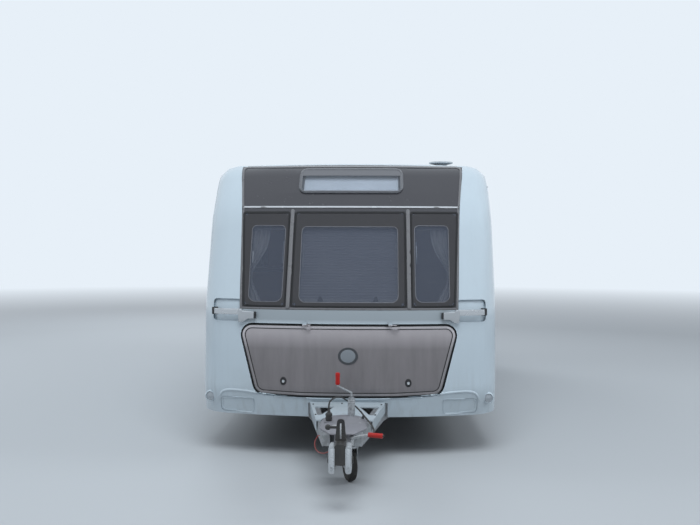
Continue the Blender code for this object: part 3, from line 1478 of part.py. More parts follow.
def make_coupling():
    """The drawbar tube and the coupling head, hollow below for the ball, between its two friction pad arms."""
    outline = rounded([
        (-HEAD_HALF, HEAD_BOTTOM, 0.010), (HEAD_HALF, HEAD_BOTTOM, 0.010),
        (HEAD_HALF, HEAD_TOP, 0.022), (-HEAD_HALF, HEAD_TOP, 0.022),
    ])
    head = prism("coupling_head", outline, "Y", NOSE + 0.004, NOSE + HEAD_LONG)
    tube_end = NOSE + HOUSING_END - 0.08
    tube = prism("drawbar", circle((0, DRAWBAR_HEIGHT), DRAWBAR_RADIUS, 16), "Y", NOSE + 0.15, tube_end)
    unite(head, tube)
    for side in (-1, 1):
        xs = sorted((side * (HEAD_HALF - 0.003), side * LOBE_OUTER))
        lobe = rectangle(xs[0], LOBE_BOTTOM, xs[1], LOBE_TOP, 0.015)
        unite(head, prism("lobe", lobe, "Y", NOSE, NOSE + LOBE_LONG))
    ball = (0.0, NOSE + BALL_BACK)
    socket = prism("socket", circle(ball, BALL_RADIUS, 16), "Z", HEAD_BOTTOM - 0.1, DRAWBAR_HEIGHT + 0.008)
    return complete(cut(head, socket), "cast_metal")


def make_stabiliser_handle():
    """The upright lever that presses the friction pads on the ball, standing released, with its side knob."""
    y = NOSE + LEVER_BACK
    outline = rounded([
        (-LEVER_BOTTOM_HALF, HEAD_TOP + SEAT, 0.004), (LEVER_BOTTOM_HALF, HEAD_TOP + SEAT, 0.004),
        (LEVER_TOP_HALF, LEVER_TOP, 0.018), (-LEVER_TOP_HALF, LEVER_TOP, 0.018),
    ])
    lever = prism("stabiliser_handle", outline, "Y", y - LEVER_THICK / 2, y + LEVER_THICK / 2)
    knob_end = (LEVER_KNOB_X, y, LEVER_KNOB_Z)
    stem = rod("stem", (knob_end, (-LEVER_TOP_HALF / 2, y, LEVER_KNOB_Z)), 0.008)
    profile = ((0.0, -0.016), (0.012, -0.014), (0.018, 0.0), (0.012, 0.014), (0.0, 0.016))
    knob = turned("knob", profile, knob_end, (0, 1, 0), 16)
    return complete(unite(lever, stem, knob), "black_plastic")


def make_handbrake():
    """The parking brake lever, released: from its boss on the housing past the right rail to its grip."""
    pivot = Vector(HANDBRAKE_ROUTE[0])
    boss_start = Vector((HOUSING_HALF + SEAT, pivot.y, pivot.z))
    boss = rod("boss", (boss_start, boss_start + Vector((BOSS_LONG, 0, 0))), BOSS_RADIUS, 12)
    grip = rod("grip", HANDBRAKE_ROUTE[-2:], GRIP_RADIUS, 12)
    return complete(unite(rod("handbrake_lever", HANDBRAKE_ROUTE, LEVER_RADIUS), boss, grip), "red_plastic")


def make_cables():
    """The towing cable with its plug parked upright, and the thin breakaway cable."""
    cord("towing_cable", CABLE_ROUTE, CABLE_DIAMETER, "rubber")
    end = Vector(CABLE_ROUTE[-1])
    base = HOLDER_HEIGHT + SEAT - end.z
    neck = CABLE_DIAMETER * 0.8
    profile = (
        (0.0, base), (PLUG_RADIUS, base), (PLUG_RADIUS, base * 0.45), (PLUG_RADIUS * 0.88, base * 0.25),
        (neck, -SEAT), (0.0, -SEAT),
    )
    complete(turned("towing_plug", profile, end, (0, 0, 1), 20), "black_plastic")
    cord("breakaway_cable", BREAKAWAY_ROUTE, BREAKAWAY_DIAMETER, "red_plastic")


def jockey_turn():
    return Matrix.Rotation(math.radians(JOCKEY_TURN), 3, "Z")


def jockey_place(x, y, z):
    """A point given from the swivel line, with the wheel turned."""
    return Vector((JOCKEY_X, JOCKEY_Y, 0.0)) + jockey_turn() @ Vector((x, y, z))


def make_jockey():
    """The clamped tube with its crank, the leg that slides in it, the fork that swivels and the wheel."""
    centre = (JOCKEY_X, JOCKEY_Y)
    top = JOCKEY_TUBE_TOP
    tube = prism("jockey_tube", circle(centre, JOCKEY_TUBE_RADIUS, JOCKEY_SIDES), "Z", JOCKEY_TUBE_BOTTOM, top)
    cut(tube, prism("bore", circle(centre, JOCKEY_BORE, JOCKEY_SIDES), "Z", JOCKEY_TUBE_BOTTOM - 0.1, top - 0.02))
    stem_top = Vector((JOCKEY_X, JOCKEY_Y, top + 0.042))
    arm_end = stem_top + Vector((-CRANK_OUT, 0, 0.045))
    knob_end = arm_end + Vector((0, 0, CRANK_RISE))
    crank = rod("crank", ((JOCKEY_X, JOCKEY_Y, top - 0.01), stem_top, arm_end, knob_end), CRANK_RADIUS)
    knob = rod("knob", (arm_end + Vector((0, 0, 0.012)), knob_end + Vector((0, 0, 0.004))), CRANK_RADIUS * 2, 12)
    collar = prism("collar", circle(centre, JOCKEY_TUBE_RADIUS * 0.8, JOCKEY_SIDES), "Z", top - 0.004, top + 0.012)
    unite(tube, collar, crank, knob)
    clamp = box(
        "clamp", (JOCKEY_X, JOCKEY_Y - CLAMP_HALF, CLAMP_BOTTOM), (CLAMP_REACH, JOCKEY_Y + CLAMP_HALF, CLAMP_TOP)
    )
    unite(tube, cut(clamp, prism("core", circle(centre, JOCKEY_BORE + 0.001, JOCKEY_SIDES), "Z", 0.2, 0.8)))
    complete(tube, "galvanised")
    leg_round = circle(centre, JOCKEY_LEG_RADIUS, JOCKEY_SIDES)
    leg = prism("jockey_leg", leg_round, "Z", JOCKEY_FORK_TOP + SEAT, JOCKEY_LEG_TOP)
    complete(leg, "galvanised", (*centre, JOCKEY_FORK_TOP))
    half = JOCKEY_WHEEL_WIDE / 2 + 0.006
    bridge_low = (-half - 0.005, -0.03, JOCKEY_FORK_TOP - 0.012)
    fork = box("jockey_fork", bridge_low, (half + 0.005, 0.045, JOCKEY_FORK_TOP))
    for side in (-1, 1):
        xs = sorted((side * half, side * (half + 0.005)))
        cheek = prism(
            "cheek",
            rounded([
                (-0.025, JOCKEY_FORK_TOP - 0.006, 0), (0.042, JOCKEY_FORK_TOP - 0.006, 0),
                (JOCKEY_TRAIL + 0.02, JOCKEY_WHEEL_RADIUS - 0.02, 0.015),
                (JOCKEY_TRAIL - 0.02, JOCKEY_WHEEL_RADIUS - 0.02, 0.015),
            ]),
            "X", *xs,
        )
        unite(fork, cheek)
    pin = prism("pin", circle((JOCKEY_TRAIL, JOCKEY_WHEEL_RADIUS), 0.008, 12), "X", -half - 0.003, half + 0.003)
    unite(fork, pin)
    turn_about(fork, centre)
    complete(fork, "galvanised", (*centre, JOCKEY_FORK_TOP))
    flat = JOCKEY_WHEEL_RADIUS / math.cos(math.pi / JOCKEY_SIDES)
    wide = JOCKEY_WHEEL_WIDE / 2
    profile = (
        (0.0085, -wide), (0.03, -wide), (0.05, -wide * 0.6), (flat - 0.02, -wide * 0.9), (flat, -wide * 0.6),
        (flat, wide * 0.6), (flat - 0.02, wide * 0.9), (0.05, wide * 0.6), (0.03, wide), (0.0085, wide),
    )
    wheel = turned("jockey_wheel", profile, (0, JOCKEY_TRAIL, JOCKEY_WHEEL_RADIUS), (1, 0, 0), JOCKEY_SIDES)
    turn_about(wheel, centre)
    complete(wheel, "rubber", jockey_place(0, JOCKEY_TRAIL, JOCKEY_WHEEL_RADIUS))


def turn_about(thing, centre):
    """A piece made round the swivel line at the origin, turned and moved to its place."""
    turn = Matrix.Rotation(math.radians(JOCKEY_TURN), 4, "Z")
    thing.data.transform(Matrix.Translation((*centre, 0.0)) @ turn)


# Furniture


def make_furniture(inside):
    base = FLOOR_TOP + SEAT
    wall = HALF_WIDTH - WALL - 0.002
    for name, side in (("sofa_left", -1), ("sofa_right", 1)):
        outline = [
            (side * SOFA_INNER, base), (side * wall, base), (side * wall, SOFA_BACK_TOP),
            (side * (wall - SOFA_BACK_THICK), SOFA_BACK_TOP), (side * (wall - SOFA_BACK_THICK), SOFA_SEAT),
            (side * SOFA_INNER, SOFA_SEAT),
        ]
        start = FRONT + SOFA_START
        complete(prism(name, outline, "Y", start, start + SOFA_LONG), "upholstery")
    shelf_high = (HALF_WIDTH, FRONT + SOFA_START - 0.02, SHELF_TOP)
    shelf = box("front_chest", (-HALF_WIDTH, FRONT - 0.1, SHELF_TOP - SHELF_THICK), shelf_high)
    keep(shelf, inside)
    back = FRONT + LOCKER_DEPTH + SEAT
    chest = box("chest", (-CHEST_HALF, back, base), (CHEST_HALF, FRONT + CHEST_END, SHELF_TOP - 0.01))
    complete(unite(shelf, chest), "furniture")
    start = FRONT + KITCHEN_START
    kitchen_high = (-wall + KITCHEN_DEEP, start + KITCHEN_LONG - 0.02, KITCHEN_TOP)
    kitchen = box("kitchen_unit", (-wall, start, base), kitchen_high)
    complete(kitchen, "furniture")
    start = FRONT + PARTITION_BACK
    screen = box("partition", (-wall, start, base), (wall, start + PARTITION_THICK, PARTITION_TOP))
    doorway = box(
        "doorway", (DOORWAY_X - DOORWAY_HALF, start - 0.1, base - 0.1),
        (DOORWAY_X + DOORWAY_HALF, start + 0.1, DOORWAY_TOP),
    )
    complete(cut(screen, doorway), "furniture")


def main():
    clear_scene()
    inside = shell_volume("guide_inside", WALL + SEAM)
    outside = shell_volume("guide_outside", -SEAT)
    make_front_panel()
    make_front_surround()
    make_front_upper_panel()
    make_front_windows()
    make_locker_lid()
    make_locker_box(inside)
    for name, side in (("grab_handle_left", -1), ("grab_handle_right", 1)):
        make_grab_handle(name, side, outside)
    for name, side in (("side_wall_left", -1), ("side_wall_right", 1)):
        make_side_wall(name, side)
    make_side_windows()
    make_roof()
    for row in ROOF_LIGHTS:
        make_roof_light(*row, outside)
    make_aerial(outside)
    make_rear_panel()
    make_bumper(outside)
    make_rear_window()
    for name, side in (("rear_lamp_left", -1), ("rear_lamp_right", 1)):
        make_rear_lamp(name, side, outside)
    make_floor(inside)
    for name, side in (("wheel_arch_left", -1), ("wheel_arch_right", 1)):
        make_wheel_arch(name, side)
    make_door()
    make_hatch()
    make_chassis()
    make_axle()
    for name, side in (("left", -1), ("right", 1)):
        make_wheel(name, side)
    for row in STEADIES:
        make_steady(*row)
    make_a_frame_cover()
    make_overrun_housing()
    make_coupling()
    make_stabiliser_handle()
    make_handbrake()
    make_cables()
    make_jockey()
    make_furniture(inside)


main()
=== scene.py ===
import json
import math

import bmesh
import bpy
from mathutils import Matrix, Vector
from mathutils.bvhtree import BVHTree

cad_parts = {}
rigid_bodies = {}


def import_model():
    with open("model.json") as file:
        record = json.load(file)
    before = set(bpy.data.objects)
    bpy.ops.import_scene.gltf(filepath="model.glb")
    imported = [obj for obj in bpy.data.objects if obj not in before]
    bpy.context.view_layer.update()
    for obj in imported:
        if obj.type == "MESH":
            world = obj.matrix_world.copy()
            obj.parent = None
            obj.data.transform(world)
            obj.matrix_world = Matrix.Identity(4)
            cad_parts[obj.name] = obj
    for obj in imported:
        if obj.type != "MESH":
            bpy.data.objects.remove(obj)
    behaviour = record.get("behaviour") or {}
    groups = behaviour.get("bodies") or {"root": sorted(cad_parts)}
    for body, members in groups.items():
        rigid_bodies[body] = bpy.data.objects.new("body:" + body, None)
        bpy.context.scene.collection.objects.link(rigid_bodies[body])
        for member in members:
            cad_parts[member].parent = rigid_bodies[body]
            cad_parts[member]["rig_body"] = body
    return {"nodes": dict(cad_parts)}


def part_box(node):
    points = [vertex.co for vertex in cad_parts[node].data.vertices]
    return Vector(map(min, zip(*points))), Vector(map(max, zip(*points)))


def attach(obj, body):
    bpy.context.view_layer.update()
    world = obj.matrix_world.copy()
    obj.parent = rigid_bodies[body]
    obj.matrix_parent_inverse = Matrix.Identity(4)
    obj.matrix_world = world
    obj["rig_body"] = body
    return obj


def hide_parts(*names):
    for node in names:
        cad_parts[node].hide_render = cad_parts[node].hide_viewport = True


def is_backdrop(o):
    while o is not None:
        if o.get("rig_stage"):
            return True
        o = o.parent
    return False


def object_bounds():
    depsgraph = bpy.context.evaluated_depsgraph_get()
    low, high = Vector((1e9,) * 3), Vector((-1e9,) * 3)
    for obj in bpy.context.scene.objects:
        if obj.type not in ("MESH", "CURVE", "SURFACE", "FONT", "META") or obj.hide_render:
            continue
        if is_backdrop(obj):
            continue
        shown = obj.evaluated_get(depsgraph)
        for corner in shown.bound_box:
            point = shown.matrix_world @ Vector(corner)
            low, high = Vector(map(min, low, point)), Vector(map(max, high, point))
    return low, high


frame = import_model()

cad_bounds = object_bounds()
nodes = frame["nodes"]


# Camera
# Head-on at eye height, a little to the right of the middle, and turned slightly towards the hitch.
# The picture is taken as 700 pixels wide, and the lens is given for Blender's 36 mm wide sensor.

PHOTO_WIDE = 700
FOCAL_PIXELS = 853
EYE = (0.2129, -8.6182, 1.5898)
YAW, PITCH, ROLL = (math.radians(angle) for angle in (1.81, -1.094, 0.195))
lens = bpy.data.cameras.new("camera")
lens.sensor_width = 36
lens.lens = FOCAL_PIXELS / PHOTO_WIDE * lens.sensor_width
lens.clip_end = 200
camera = bpy.data.objects.new("camera", lens)
bpy.context.scene.collection.objects.link(camera)
camera.matrix_world = (
    Matrix.Translation(EYE)
    @ Matrix.Rotation(YAW, 4, "Z")
    @ Matrix.Rotation(math.pi / 2 + PITCH, 4, "X")
    @ Matrix.Rotation(ROLL, 4, "Z")
)
bpy.context.scene.camera = camera
bpy.context.scene.view_settings.view_transform = "Standard"


# Towing cable
# A black 13-core cable in a soft sheath, 11 mm thick. It leaves the gland on the right of the housing, rises
# round the back of the jockey tube and comes down into the plug, which is parked on its tab on the left.

NOSE = -3.64


def smooth_route(route, spacing):
    """Points at an even spacing on one smooth curve through the route."""
    route = [Vector(point) for point in route]
    padded = [2 * route[0] - route[1], *route, 2 * route[-1] - route[-2]]
    fine = []
    for a, b, c, d in zip(padded, padded[1:], padded[2:], padded[3:]):
        for step in range(20):
            t = step / 20
            fine.append(0.5 * (2 * b + (c - a) * t + (2 * a - 5 * b + 4 * c - d) * t ** 2
                               + (3 * b - a - 3 * c + d) * t ** 3))
    fine.append(route[-1])
    lengths = [0.0]
    for before, after in zip(fine, fine[1:]):
        lengths.append(lengths[-1] + (after - before).length)
    count = max(2, round(lengths[-1] / spacing))
    even = []
    for number in range(count + 1):
        goal = lengths[-1] * number / count
        index = next(i for i in range(1, len(lengths)) if lengths[i] >= goal - 1e-9)
        share = (goal - lengths[index - 1]) / (lengths[index] - lengths[index - 1])
        even.append(fine[index - 1].lerp(fine[index], share))
    return even


def deselect():
    """Nothing selected and nothing active, outside edit mode."""
    if bpy.context.mode != "OBJECT":
        bpy.ops.object.mode_set(mode="OBJECT")
    bpy.ops.object.select_all(action="DESELECT")
    bpy.context.view_layer.objects.active = None


def take(thing):
    """This object alone is selected and active."""
    deselect()
    thing.select_set(True)
    bpy.context.view_layer.objects.active = thing
    return thing


def settle(thing, name, body, look=None, stands_for=()):
    """A finished piece: its place goes into its mesh, and it gets its name, finish and body; the CAD nodes it
    stands for are hidden.
    """
    take(thing)
    bpy.ops.object.transform_apply(location=True, rotation=True, scale=True)
    thing.name = name
    thing.data.name = name
    if look is not None:
        thing.data.materials.clear()
        thing.data.materials.append(look)
    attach(thing, body)
    if stands_for:
        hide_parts(*stands_for)
    return thing


def finish(name, colour, rough, metal=0.0, coat=0.0, shine=0.5):
    """A new material whose shader holds the plain values."""
    look = bpy.data.materials.new(name)
    look.use_nodes = True
    shader = look.node_tree.nodes["Principled BSDF"]
    shader.inputs["Base Color"].default_value = (*colour, 1)
    shader.inputs["Roughness"].default_value = rough
    shader.inputs["Metallic"].default_value = metal
    shader.inputs["Coat Weight"].default_value = coat
    shader.inputs["Coat Roughness"].default_value = 0.06
    shader.inputs["Specular IOR Level"].default_value = shine
    return look


def new_group(name, inputs, outputs):
    """An empty shader node group with float or colour sockets, and its two ends."""
    group = bpy.data.node_groups.new(name, "ShaderNodeTree")
    kinds = {float: "NodeSocketFloat", tuple: "NodeSocketColor"}
    for label, value in inputs.items():
        socket = group.interface.new_socket(label, in_out="INPUT", socket_type=kinds[type(value)])
        socket.default_value = (*value, 1) if isinstance(value, tuple) else value
    for label, kind in outputs.items():
        group.interface.new_socket(label, in_out="OUTPUT", socket_type=kinds[kind])
    start = group.nodes.new("NodeGroupInput")
    end = group.nodes.new("NodeGroupOutput")
    return group, start.outputs, end.inputs


def noise(tree, place, scale, detail=3.0, rough=0.55, stretch=(1, 1, 1)):
    """A noise texture's value on the given coordinates, which may be stretched."""
    mapping = tree.nodes.new("ShaderNodeMapping")
    mapping.inputs["Scale"].default_value = stretch
    tree.links.new(place, mapping.inputs["Vector"])
    texture = tree.nodes.new("ShaderNodeTexNoise")
    if isinstance(scale, float):
        texture.inputs["Scale"].default_value = scale
    else:
        tree.links.new(scale, texture.inputs["Scale"])
    texture.inputs["Detail"].default_value = detail
    texture.inputs["Roughness"].default_value = rough
    tree.links.new(mapping.outputs[0], texture.inputs["Vector"])
    return texture.outputs[0]


def spread(tree, value, low, high, to_low=0.0, to_high=1.0):
    """A value carried from one range to another, and held inside it."""
    node = tree.nodes.new("ShaderNodeMapRange")
    for label, number in (("From Min", low), ("From Max", high), ("To Min", to_low), ("To Max", to_high)):
        if isinstance(number, (int, float)):
            node.inputs[label].default_value = number
        else:
            tree.links.new(number, node.inputs[label])
    tree.links.new(value, node.inputs["Value"])
    return node.outputs[0]


def sum_of(tree, way, *values):
    """Math on two or three values, each a number or a socket."""
    node = tree.nodes.new("ShaderNodeMath")
    node.operation = way
    for index, value in enumerate(values):
        if isinstance(value, (int, float)):
            node.inputs[index].default_value = value
        else:
            tree.links.new(value, node.inputs[index])
    return node.outputs[0]


def blended(tree, share, a, b):
    """A colour between two, each a triple or a socket."""
    node = tree.nodes.new("ShaderNodeMix")
    node.data_type = "RGBA"
    ends = [socket for socket in node.inputs if socket.type == "RGBA"]
    for socket, value in zip(ends, (a, b)):
        if isinstance(value, tuple):
            socket.default_value = (*value, 1)
        else:
            tree.links.new(value, socket)
    tree.links.new(share, node.inputs["Factor"])
    return next(socket for socket in node.outputs if socket.type == "RGBA")


def place_in(tree):
    """Object coordinates, and their X, Y and Z."""
    place = tree.nodes.new("ShaderNodeTexCoord").outputs["Object"]
    split = tree.nodes.new("ShaderNodeSeparateXYZ")
    tree.links.new(place, split.inputs[0])
    return place, split.outputs


def make_film_group():
    """Road film: thick near the ground and thin higher up, in patches and in streaks that run down."""
    inputs = {"Colour": (0.8, 0.8, 0.8), "Film": (0.20, 0.18, 0.15), "Low": 0.3, "High": 1.0, "Amount": 0.3}
    group, given, out = new_group("road_film", inputs, {"Colour": tuple, "Mask": float})
    place, split = place_in(group)
    near_ground = spread(group, split["Z"], given["Low"], given["High"], 1.0, 0.12)
    patches = spread(group, noise(group, place, 3.0, 5.0), 0.35, 0.75)
    streaks = spread(group, noise(group, place, 9.0, 3.0, 0.6, (3.0, 3.0, 0.22)), 0.42, 0.78)
    cover = sum_of(group, "MAXIMUM", patches, streaks)
    mask = sum_of(group, "MULTIPLY", sum_of(group, "MULTIPLY", near_ground, cover), given["Amount"])
    group.links.new(blended(group, mask, given["Colour"], given["Film"]), out["Colour"])
    group.links.new(mask, out["Mask"])
    return group


def make_grain_group():
    """Fine grain for a bump, and a slow change of roughness over it."""
    inputs = {"Scale": 400.0, "Roughness": 0.4, "Change": 0.08}
    group, given, out = new_group("fine_grain", inputs, {"Height": float, "Roughness": float})
    place, _ = place_in(group)
    group.links.new(noise(group, place, given["Scale"], 2.0), out["Height"])
    slow = spread(group, noise(group, place, 14.0, 4.0), 0.3, 0.7, -1.0, 1.0)
    group.links.new(sum_of(group, "MULTIPLY_ADD", slow, given["Change"], given["Roughness"]),
                    out["Roughness"])
    return group


ROAD_FILM = make_film_group()
FINE_GRAIN = make_grain_group()


def bumped(look, height, depth):
    """The surface follows a height, as a bump of that depth in metres."""
    tree = look.node_tree
    bump = tree.nodes.new("ShaderNodeBump")
    bump.inputs["Distance"].default_value = depth
    tree.links.new(height, bump.inputs["Height"])
    tree.links.new(bump.outputs[0], tree.nodes["Principled BSDF"].inputs["Normal"])
    return look


def dress(look, grain=400.0, depth=0.0002, change=0.06, film=0.25, low=0.3, high=1.0,
          film_colour=(0.20, 0.18, 0.15)):
    """Road film and fine grain on a plain finish, with the grain as a bump of that depth in metres."""
    tree = look.node_tree
    shader = tree.nodes["Principled BSDF"]
    dirt = tree.nodes.new("ShaderNodeGroup")
    dirt.node_tree = ROAD_FILM
    colour = shader.inputs["Base Color"]
    if colour.is_linked:
        tree.links.new(colour.links[0].from_socket, dirt.inputs["Colour"])
    else:
        dirt.inputs["Colour"].default_value = colour.default_value
    dirt.inputs["Film"].default_value = (*film_colour, 1)
    for label, value in (("Low", low), ("High", high), ("Amount", film)):
        dirt.inputs[label].default_value = value
    tree.links.new(dirt.outputs["Colour"], colour)
    fine = tree.nodes.new("ShaderNodeGroup")
    fine.node_tree = FINE_GRAIN
    fine.inputs["Scale"].default_value = grain
    fine.inputs["Change"].default_value = change
    fine.inputs["Roughness"].default_value = shader.inputs["Roughness"].default_value
    tree.links.new(sum_of(tree, "MULTIPLY_ADD", dirt.outputs["Mask"], 0.35, fine.outputs["Roughness"]),
                   shader.inputs["Roughness"])
    return bumped(look, fine.outputs["Height"], depth)


def line_of(name, points, thick, sides=4):
    """A round bar or cable as a curve of one spline through the points."""
    curve = bpy.data.curves.new(name, "CURVE")
    curve.dimensions = "3D"
    curve.bevel_depth = thick / 2
    curve.bevel_resolution = sides
    curve.use_fill_caps = True
    spline = curve.splines.new("POLY")
    spline.points.add(len(points) - 1)
    for knot, point in zip(spline.points, points):
        knot.co = (*point, 1.0)
    spline.use_smooth = True
    thing = bpy.data.objects.new(name, curve)
    bpy.context.scene.collection.objects.link(thing)
    return thing


CABLE_THICK = 0.011
CABLE_ROUTE = (
    (0.1500, NOSE + 0.420, 0.385), (0.1680, NOSE + 0.420, 0.385), (0.1900, NOSE + 0.432, 0.390),
    (0.1980, NOSE + 0.470, 0.408), (0.1820, NOSE + 0.525, 0.434), (0.1560, NOSE + 0.590, 0.452),
    (0.1320, NOSE + 0.665, 0.464), (0.1080, NOSE + 0.735, 0.478), (0.0760, NOSE + 0.790, 0.499),
    (0.0380, NOSE + 0.805, 0.524), (0.0060, NOSE + 0.775, 0.550), (-0.0160, NOSE + 0.710, 0.576),
    (-0.0420, NOSE + 0.630, 0.595), (-0.0700, NOSE + 0.568, 0.594), (-0.0890, NOSE + 0.539, 0.580),
    (-0.0950, NOSE + 0.530, 0.555), (-0.0950, NOSE + 0.530, 0.542), (-0.0950, NOSE + 0.530, 0.530),
)
rubber_sheath = dress(finish("rubber_sheath", (0.018, 0.018, 0.019), 0.52), grain=900, film=0.35, low=0.3,
                      high=0.9)
cable_line = smooth_route(CABLE_ROUTE, CABLE_THICK * 0.9)
towing_cable = line_of("towing_cable_sheath", cable_line, CABLE_THICK)
towing_cable.data.materials.append(rubber_sheath)
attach(towing_cable, "caravan")
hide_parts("towing_cable")


def turned(profile, centre, axis, sides=32):
    """A round piece from a profile of (along the axis, radius), closed where it meets the axis."""
    deselect()
    mesh = bpy.data.meshes.new("turned")
    shape = bmesh.new()
    last = None
    for along, radius in profile:
        vert = shape.verts.new((max(radius, 0.0), 0, along))
        if last:
            shape.edges.new((last, vert))
        last = vert
    shape.to_mesh(mesh)
    shape.free()
    thing = bpy.data.objects.new("turned", mesh)
    bpy.context.scene.collection.objects.link(thing)
    take(thing)
    bpy.ops.object.mode_set(mode="EDIT")
    bpy.ops.mesh.select_all(action="SELECT")
    bpy.ops.mesh.spin(steps=sides, angle=2 * math.pi, center=(0, 0, 0), axis=(0, 0, 1))
    bpy.ops.mesh.select_all(action="SELECT")
    bpy.ops.mesh.remove_doubles(threshold=0.00002)
    bpy.ops.mesh.dissolve_degenerate(threshold=0.00002)
    bpy.ops.mesh.select_all(action="SELECT")
    bpy.ops.mesh.normals_make_consistent(inside=False)
    bpy.ops.object.mode_set(mode="OBJECT")
    bpy.ops.object.shade_smooth_by_angle(angle=math.radians(32))
    aimed = Vector(axis).to_track_quat("Z", "X").to_matrix().to_4x4()
    thing.matrix_world = Matrix.Translation(centre) @ aimed
    return thing


def joined(first, *others):
    """One object of several, in the first's name."""
    take(first)
    for other in others:
        other.select_set(True)
    bpy.ops.object.join()
    return first


black_moulding = dress(finish("black_moulding", (0.016, 0.016, 0.018), 0.38), grain=650, film=0.3)
plug_low, plug_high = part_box("towing_plug")
plug_long = plug_high.z - plug_low.z
plug_profile = [
    (0.000, 0.0), (0.000, 0.0195), (0.004, 0.0205), (0.010, 0.0205), (0.011, 0.0228), (0.022, 0.0228),
    (0.023, 0.0205), (0.030, 0.0200), (0.034, 0.0215), (0.048, 0.0205), (0.053, 0.0170), (0.055, 0.0120),
    (0.058, 0.0110), (0.064, 0.0102), (0.070, 0.0088), (plug_long, 0.0072), (plug_long, 0.0),
]
plug_spot = Vector((-0.095, NOSE + 0.530, plug_low.z))
plug = turned(plug_profile, plug_spot, (0, 0, 1), 40)
ribs = []
for step in range(12):
    turn = step * math.tau / 12
    bpy.ops.mesh.primitive_cube_add(size=1, scale=(0.0026, 0.0045, 0.013))
    rib = bpy.context.object
    take(rib)
    bpy.ops.object.transform_apply(location=False, rotation=False, scale=True)
    bpy.ops.object.modifier_add(type="BEVEL")
    rib.modifiers[0].width = 0.0009
    bpy.ops.object.modifier_apply(modifier=rib.modifiers[0].name)
    spot = Vector((0.0203 * math.cos(turn), 0.0203 * math.sin(turn), 0.041))
    rib.matrix_world = Matrix.Translation(plug_spot + spot) @ Matrix.Rotation(turn + math.pi / 2, 4, "Z")
    ribs.append(rib)
plug = joined(plug, *ribs)
settle(plug, "towing_plug_body", "caravan", black_moulding, ("towing_plug",))


# Breakaway cable
# A thin steel cable in a red plastic coat. It pulls the handbrake if the caravan comes off the car, and is
# clipped to the coupling head while the caravan stands.

BREAKAWAY_THICK = 0.004
BREAKAWAY_ROUTE = (
    (-0.1460, NOSE + 0.420, 0.385), (-0.1580, NOSE + 0.414, 0.382), (-0.1740, NOSE + 0.370, 0.356),
    (-0.1640, NOSE + 0.300, 0.330), (-0.1380, NOSE + 0.235, 0.322), (-0.1020, NOSE + 0.192, 0.328),
    (-0.0700, NOSE + 0.176, 0.345), (-0.0520, NOSE + 0.175, 0.352), (-0.0430, NOSE + 0.175, 0.352),
    (-0.0348, NOSE + 0.175, 0.352),
)
red_coat = dress(finish("red_coat", (0.42, 0.030, 0.018), 0.35), grain=900, film=0.3)
breakaway_line = smooth_route(BREAKAWAY_ROUTE, BREAKAWAY_THICK * 1.5)
breakaway = line_of("breakaway_cable_coat", breakaway_line, BREAKAWAY_THICK)
breakaway.data.materials.append(red_coat)
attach(breakaway, "caravan")
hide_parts("breakaway_cable")


# Ground, sky and lamps
# A pale studio floor that fades into the backdrop far out, one pale backdrop that metal and glass show as
# well, and four large soft lamps.

BACKDROP = (0.80, 0.87, 0.94, 1)


def seen_directly(tree):
    """1 for a ray of the camera, of a reflection or through glass."""
    path = tree.nodes.new("ShaderNodeLightPath").outputs
    return sum_of(tree, "MAXIMUM", sum_of(tree, "MAXIMUM", path["Is Camera Ray"], path["Is Glossy Ray"]),
                  path["Is Transmission Ray"])


def mix_shaders(tree, share, first, second, output):
    """The output shows the first shader, and the second by its share."""
    mixed = tree.nodes.new("ShaderNodeMixShader")
    tree.links.new(share, mixed.inputs[0])
    tree.links.new(first.outputs[0], mixed.inputs[1])
    tree.links.new(second.outputs[0], mixed.inputs[2])
    tree.links.new(mixed.outputs[0], tree.nodes[output].inputs["Surface"])


bpy.ops.mesh.primitive_plane_add(size=160, location=(0, 0, 0))
floor_sheet = bpy.context.object
floor_sheet.name = "studio_floor"
floor_sheet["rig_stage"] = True
floor_look = finish("studio_floor", (0.50, 0.51, 0.52), 0.75, shine=0.1)
tree = floor_look.node_tree
place, _ = place_in(tree)
distance = tree.nodes.new("ShaderNodeVectorMath")
distance.operation = "LENGTH"
tree.links.new(place, distance.inputs[0])
far = sum_of(tree, "MULTIPLY", spread(tree, distance.outputs["Value"], 9.0, 26.0), seen_directly(tree))
glow = tree.nodes.new("ShaderNodeEmission")
glow.inputs["Color"].default_value = BACKDROP
mix_shaders(tree, far, tree.nodes["Principled BSDF"], glow, "Material Output")
floor_sheet.data.materials.append(floor_look)

world = bpy.data.worlds.new("studio")
bpy.context.scene.world = world
world.use_nodes = True
tree = world.node_tree
sky = tree.nodes["Background"]
sky.inputs["Color"].default_value = (0.82, 0.90, 1.0, 1)
sky.inputs["Strength"].default_value = 0.45
backdrop = tree.nodes.new("ShaderNodeBackground")
backdrop.inputs["Color"].default_value = BACKDROP
mix_shaders(tree, seen_directly(tree), sky, backdrop, "World Output")

LAMPS = (
    # name, place, size, power
    ("lamp_above", (0.5, -6.5, 8.5), 6.0, 520),
    ("lamp_right", (9.0, -1.0, 6.5), 5.0, 260),
    ("lamp_left", (-9.0, 1.0, 6.5), 5.0, 260),
    ("lamp_back", (-4.0, 10.0, 7.0), 5.0, 380),
)
LAMP_COLOUR = (0.86, 0.94, 1.0)
for name, spot, size, power in LAMPS:
    lamp = bpy.data.lights.new(name, "AREA")
    lamp.shape = "DISK"
    lamp.size = size
    lamp.energy = power
    lamp.color = LAMP_COLOUR
    holder = bpy.data.objects.new(name, lamp)
    bpy.context.scene.collection.objects.link(holder)
    holder.location = spot
    holder.visible_glossy = False
    holder.rotation_euler = (Vector((0, 0, 1.2)) - Vector(spot)).to_track_quat("-Z", "Y").to_euler()


# Body shell
# The white gloss mouldings of the front and rear, the painted aluminium sheets of the sides, and the roof
# skin. The panels are bonded to the frame, and meet in narrow sealed seams.


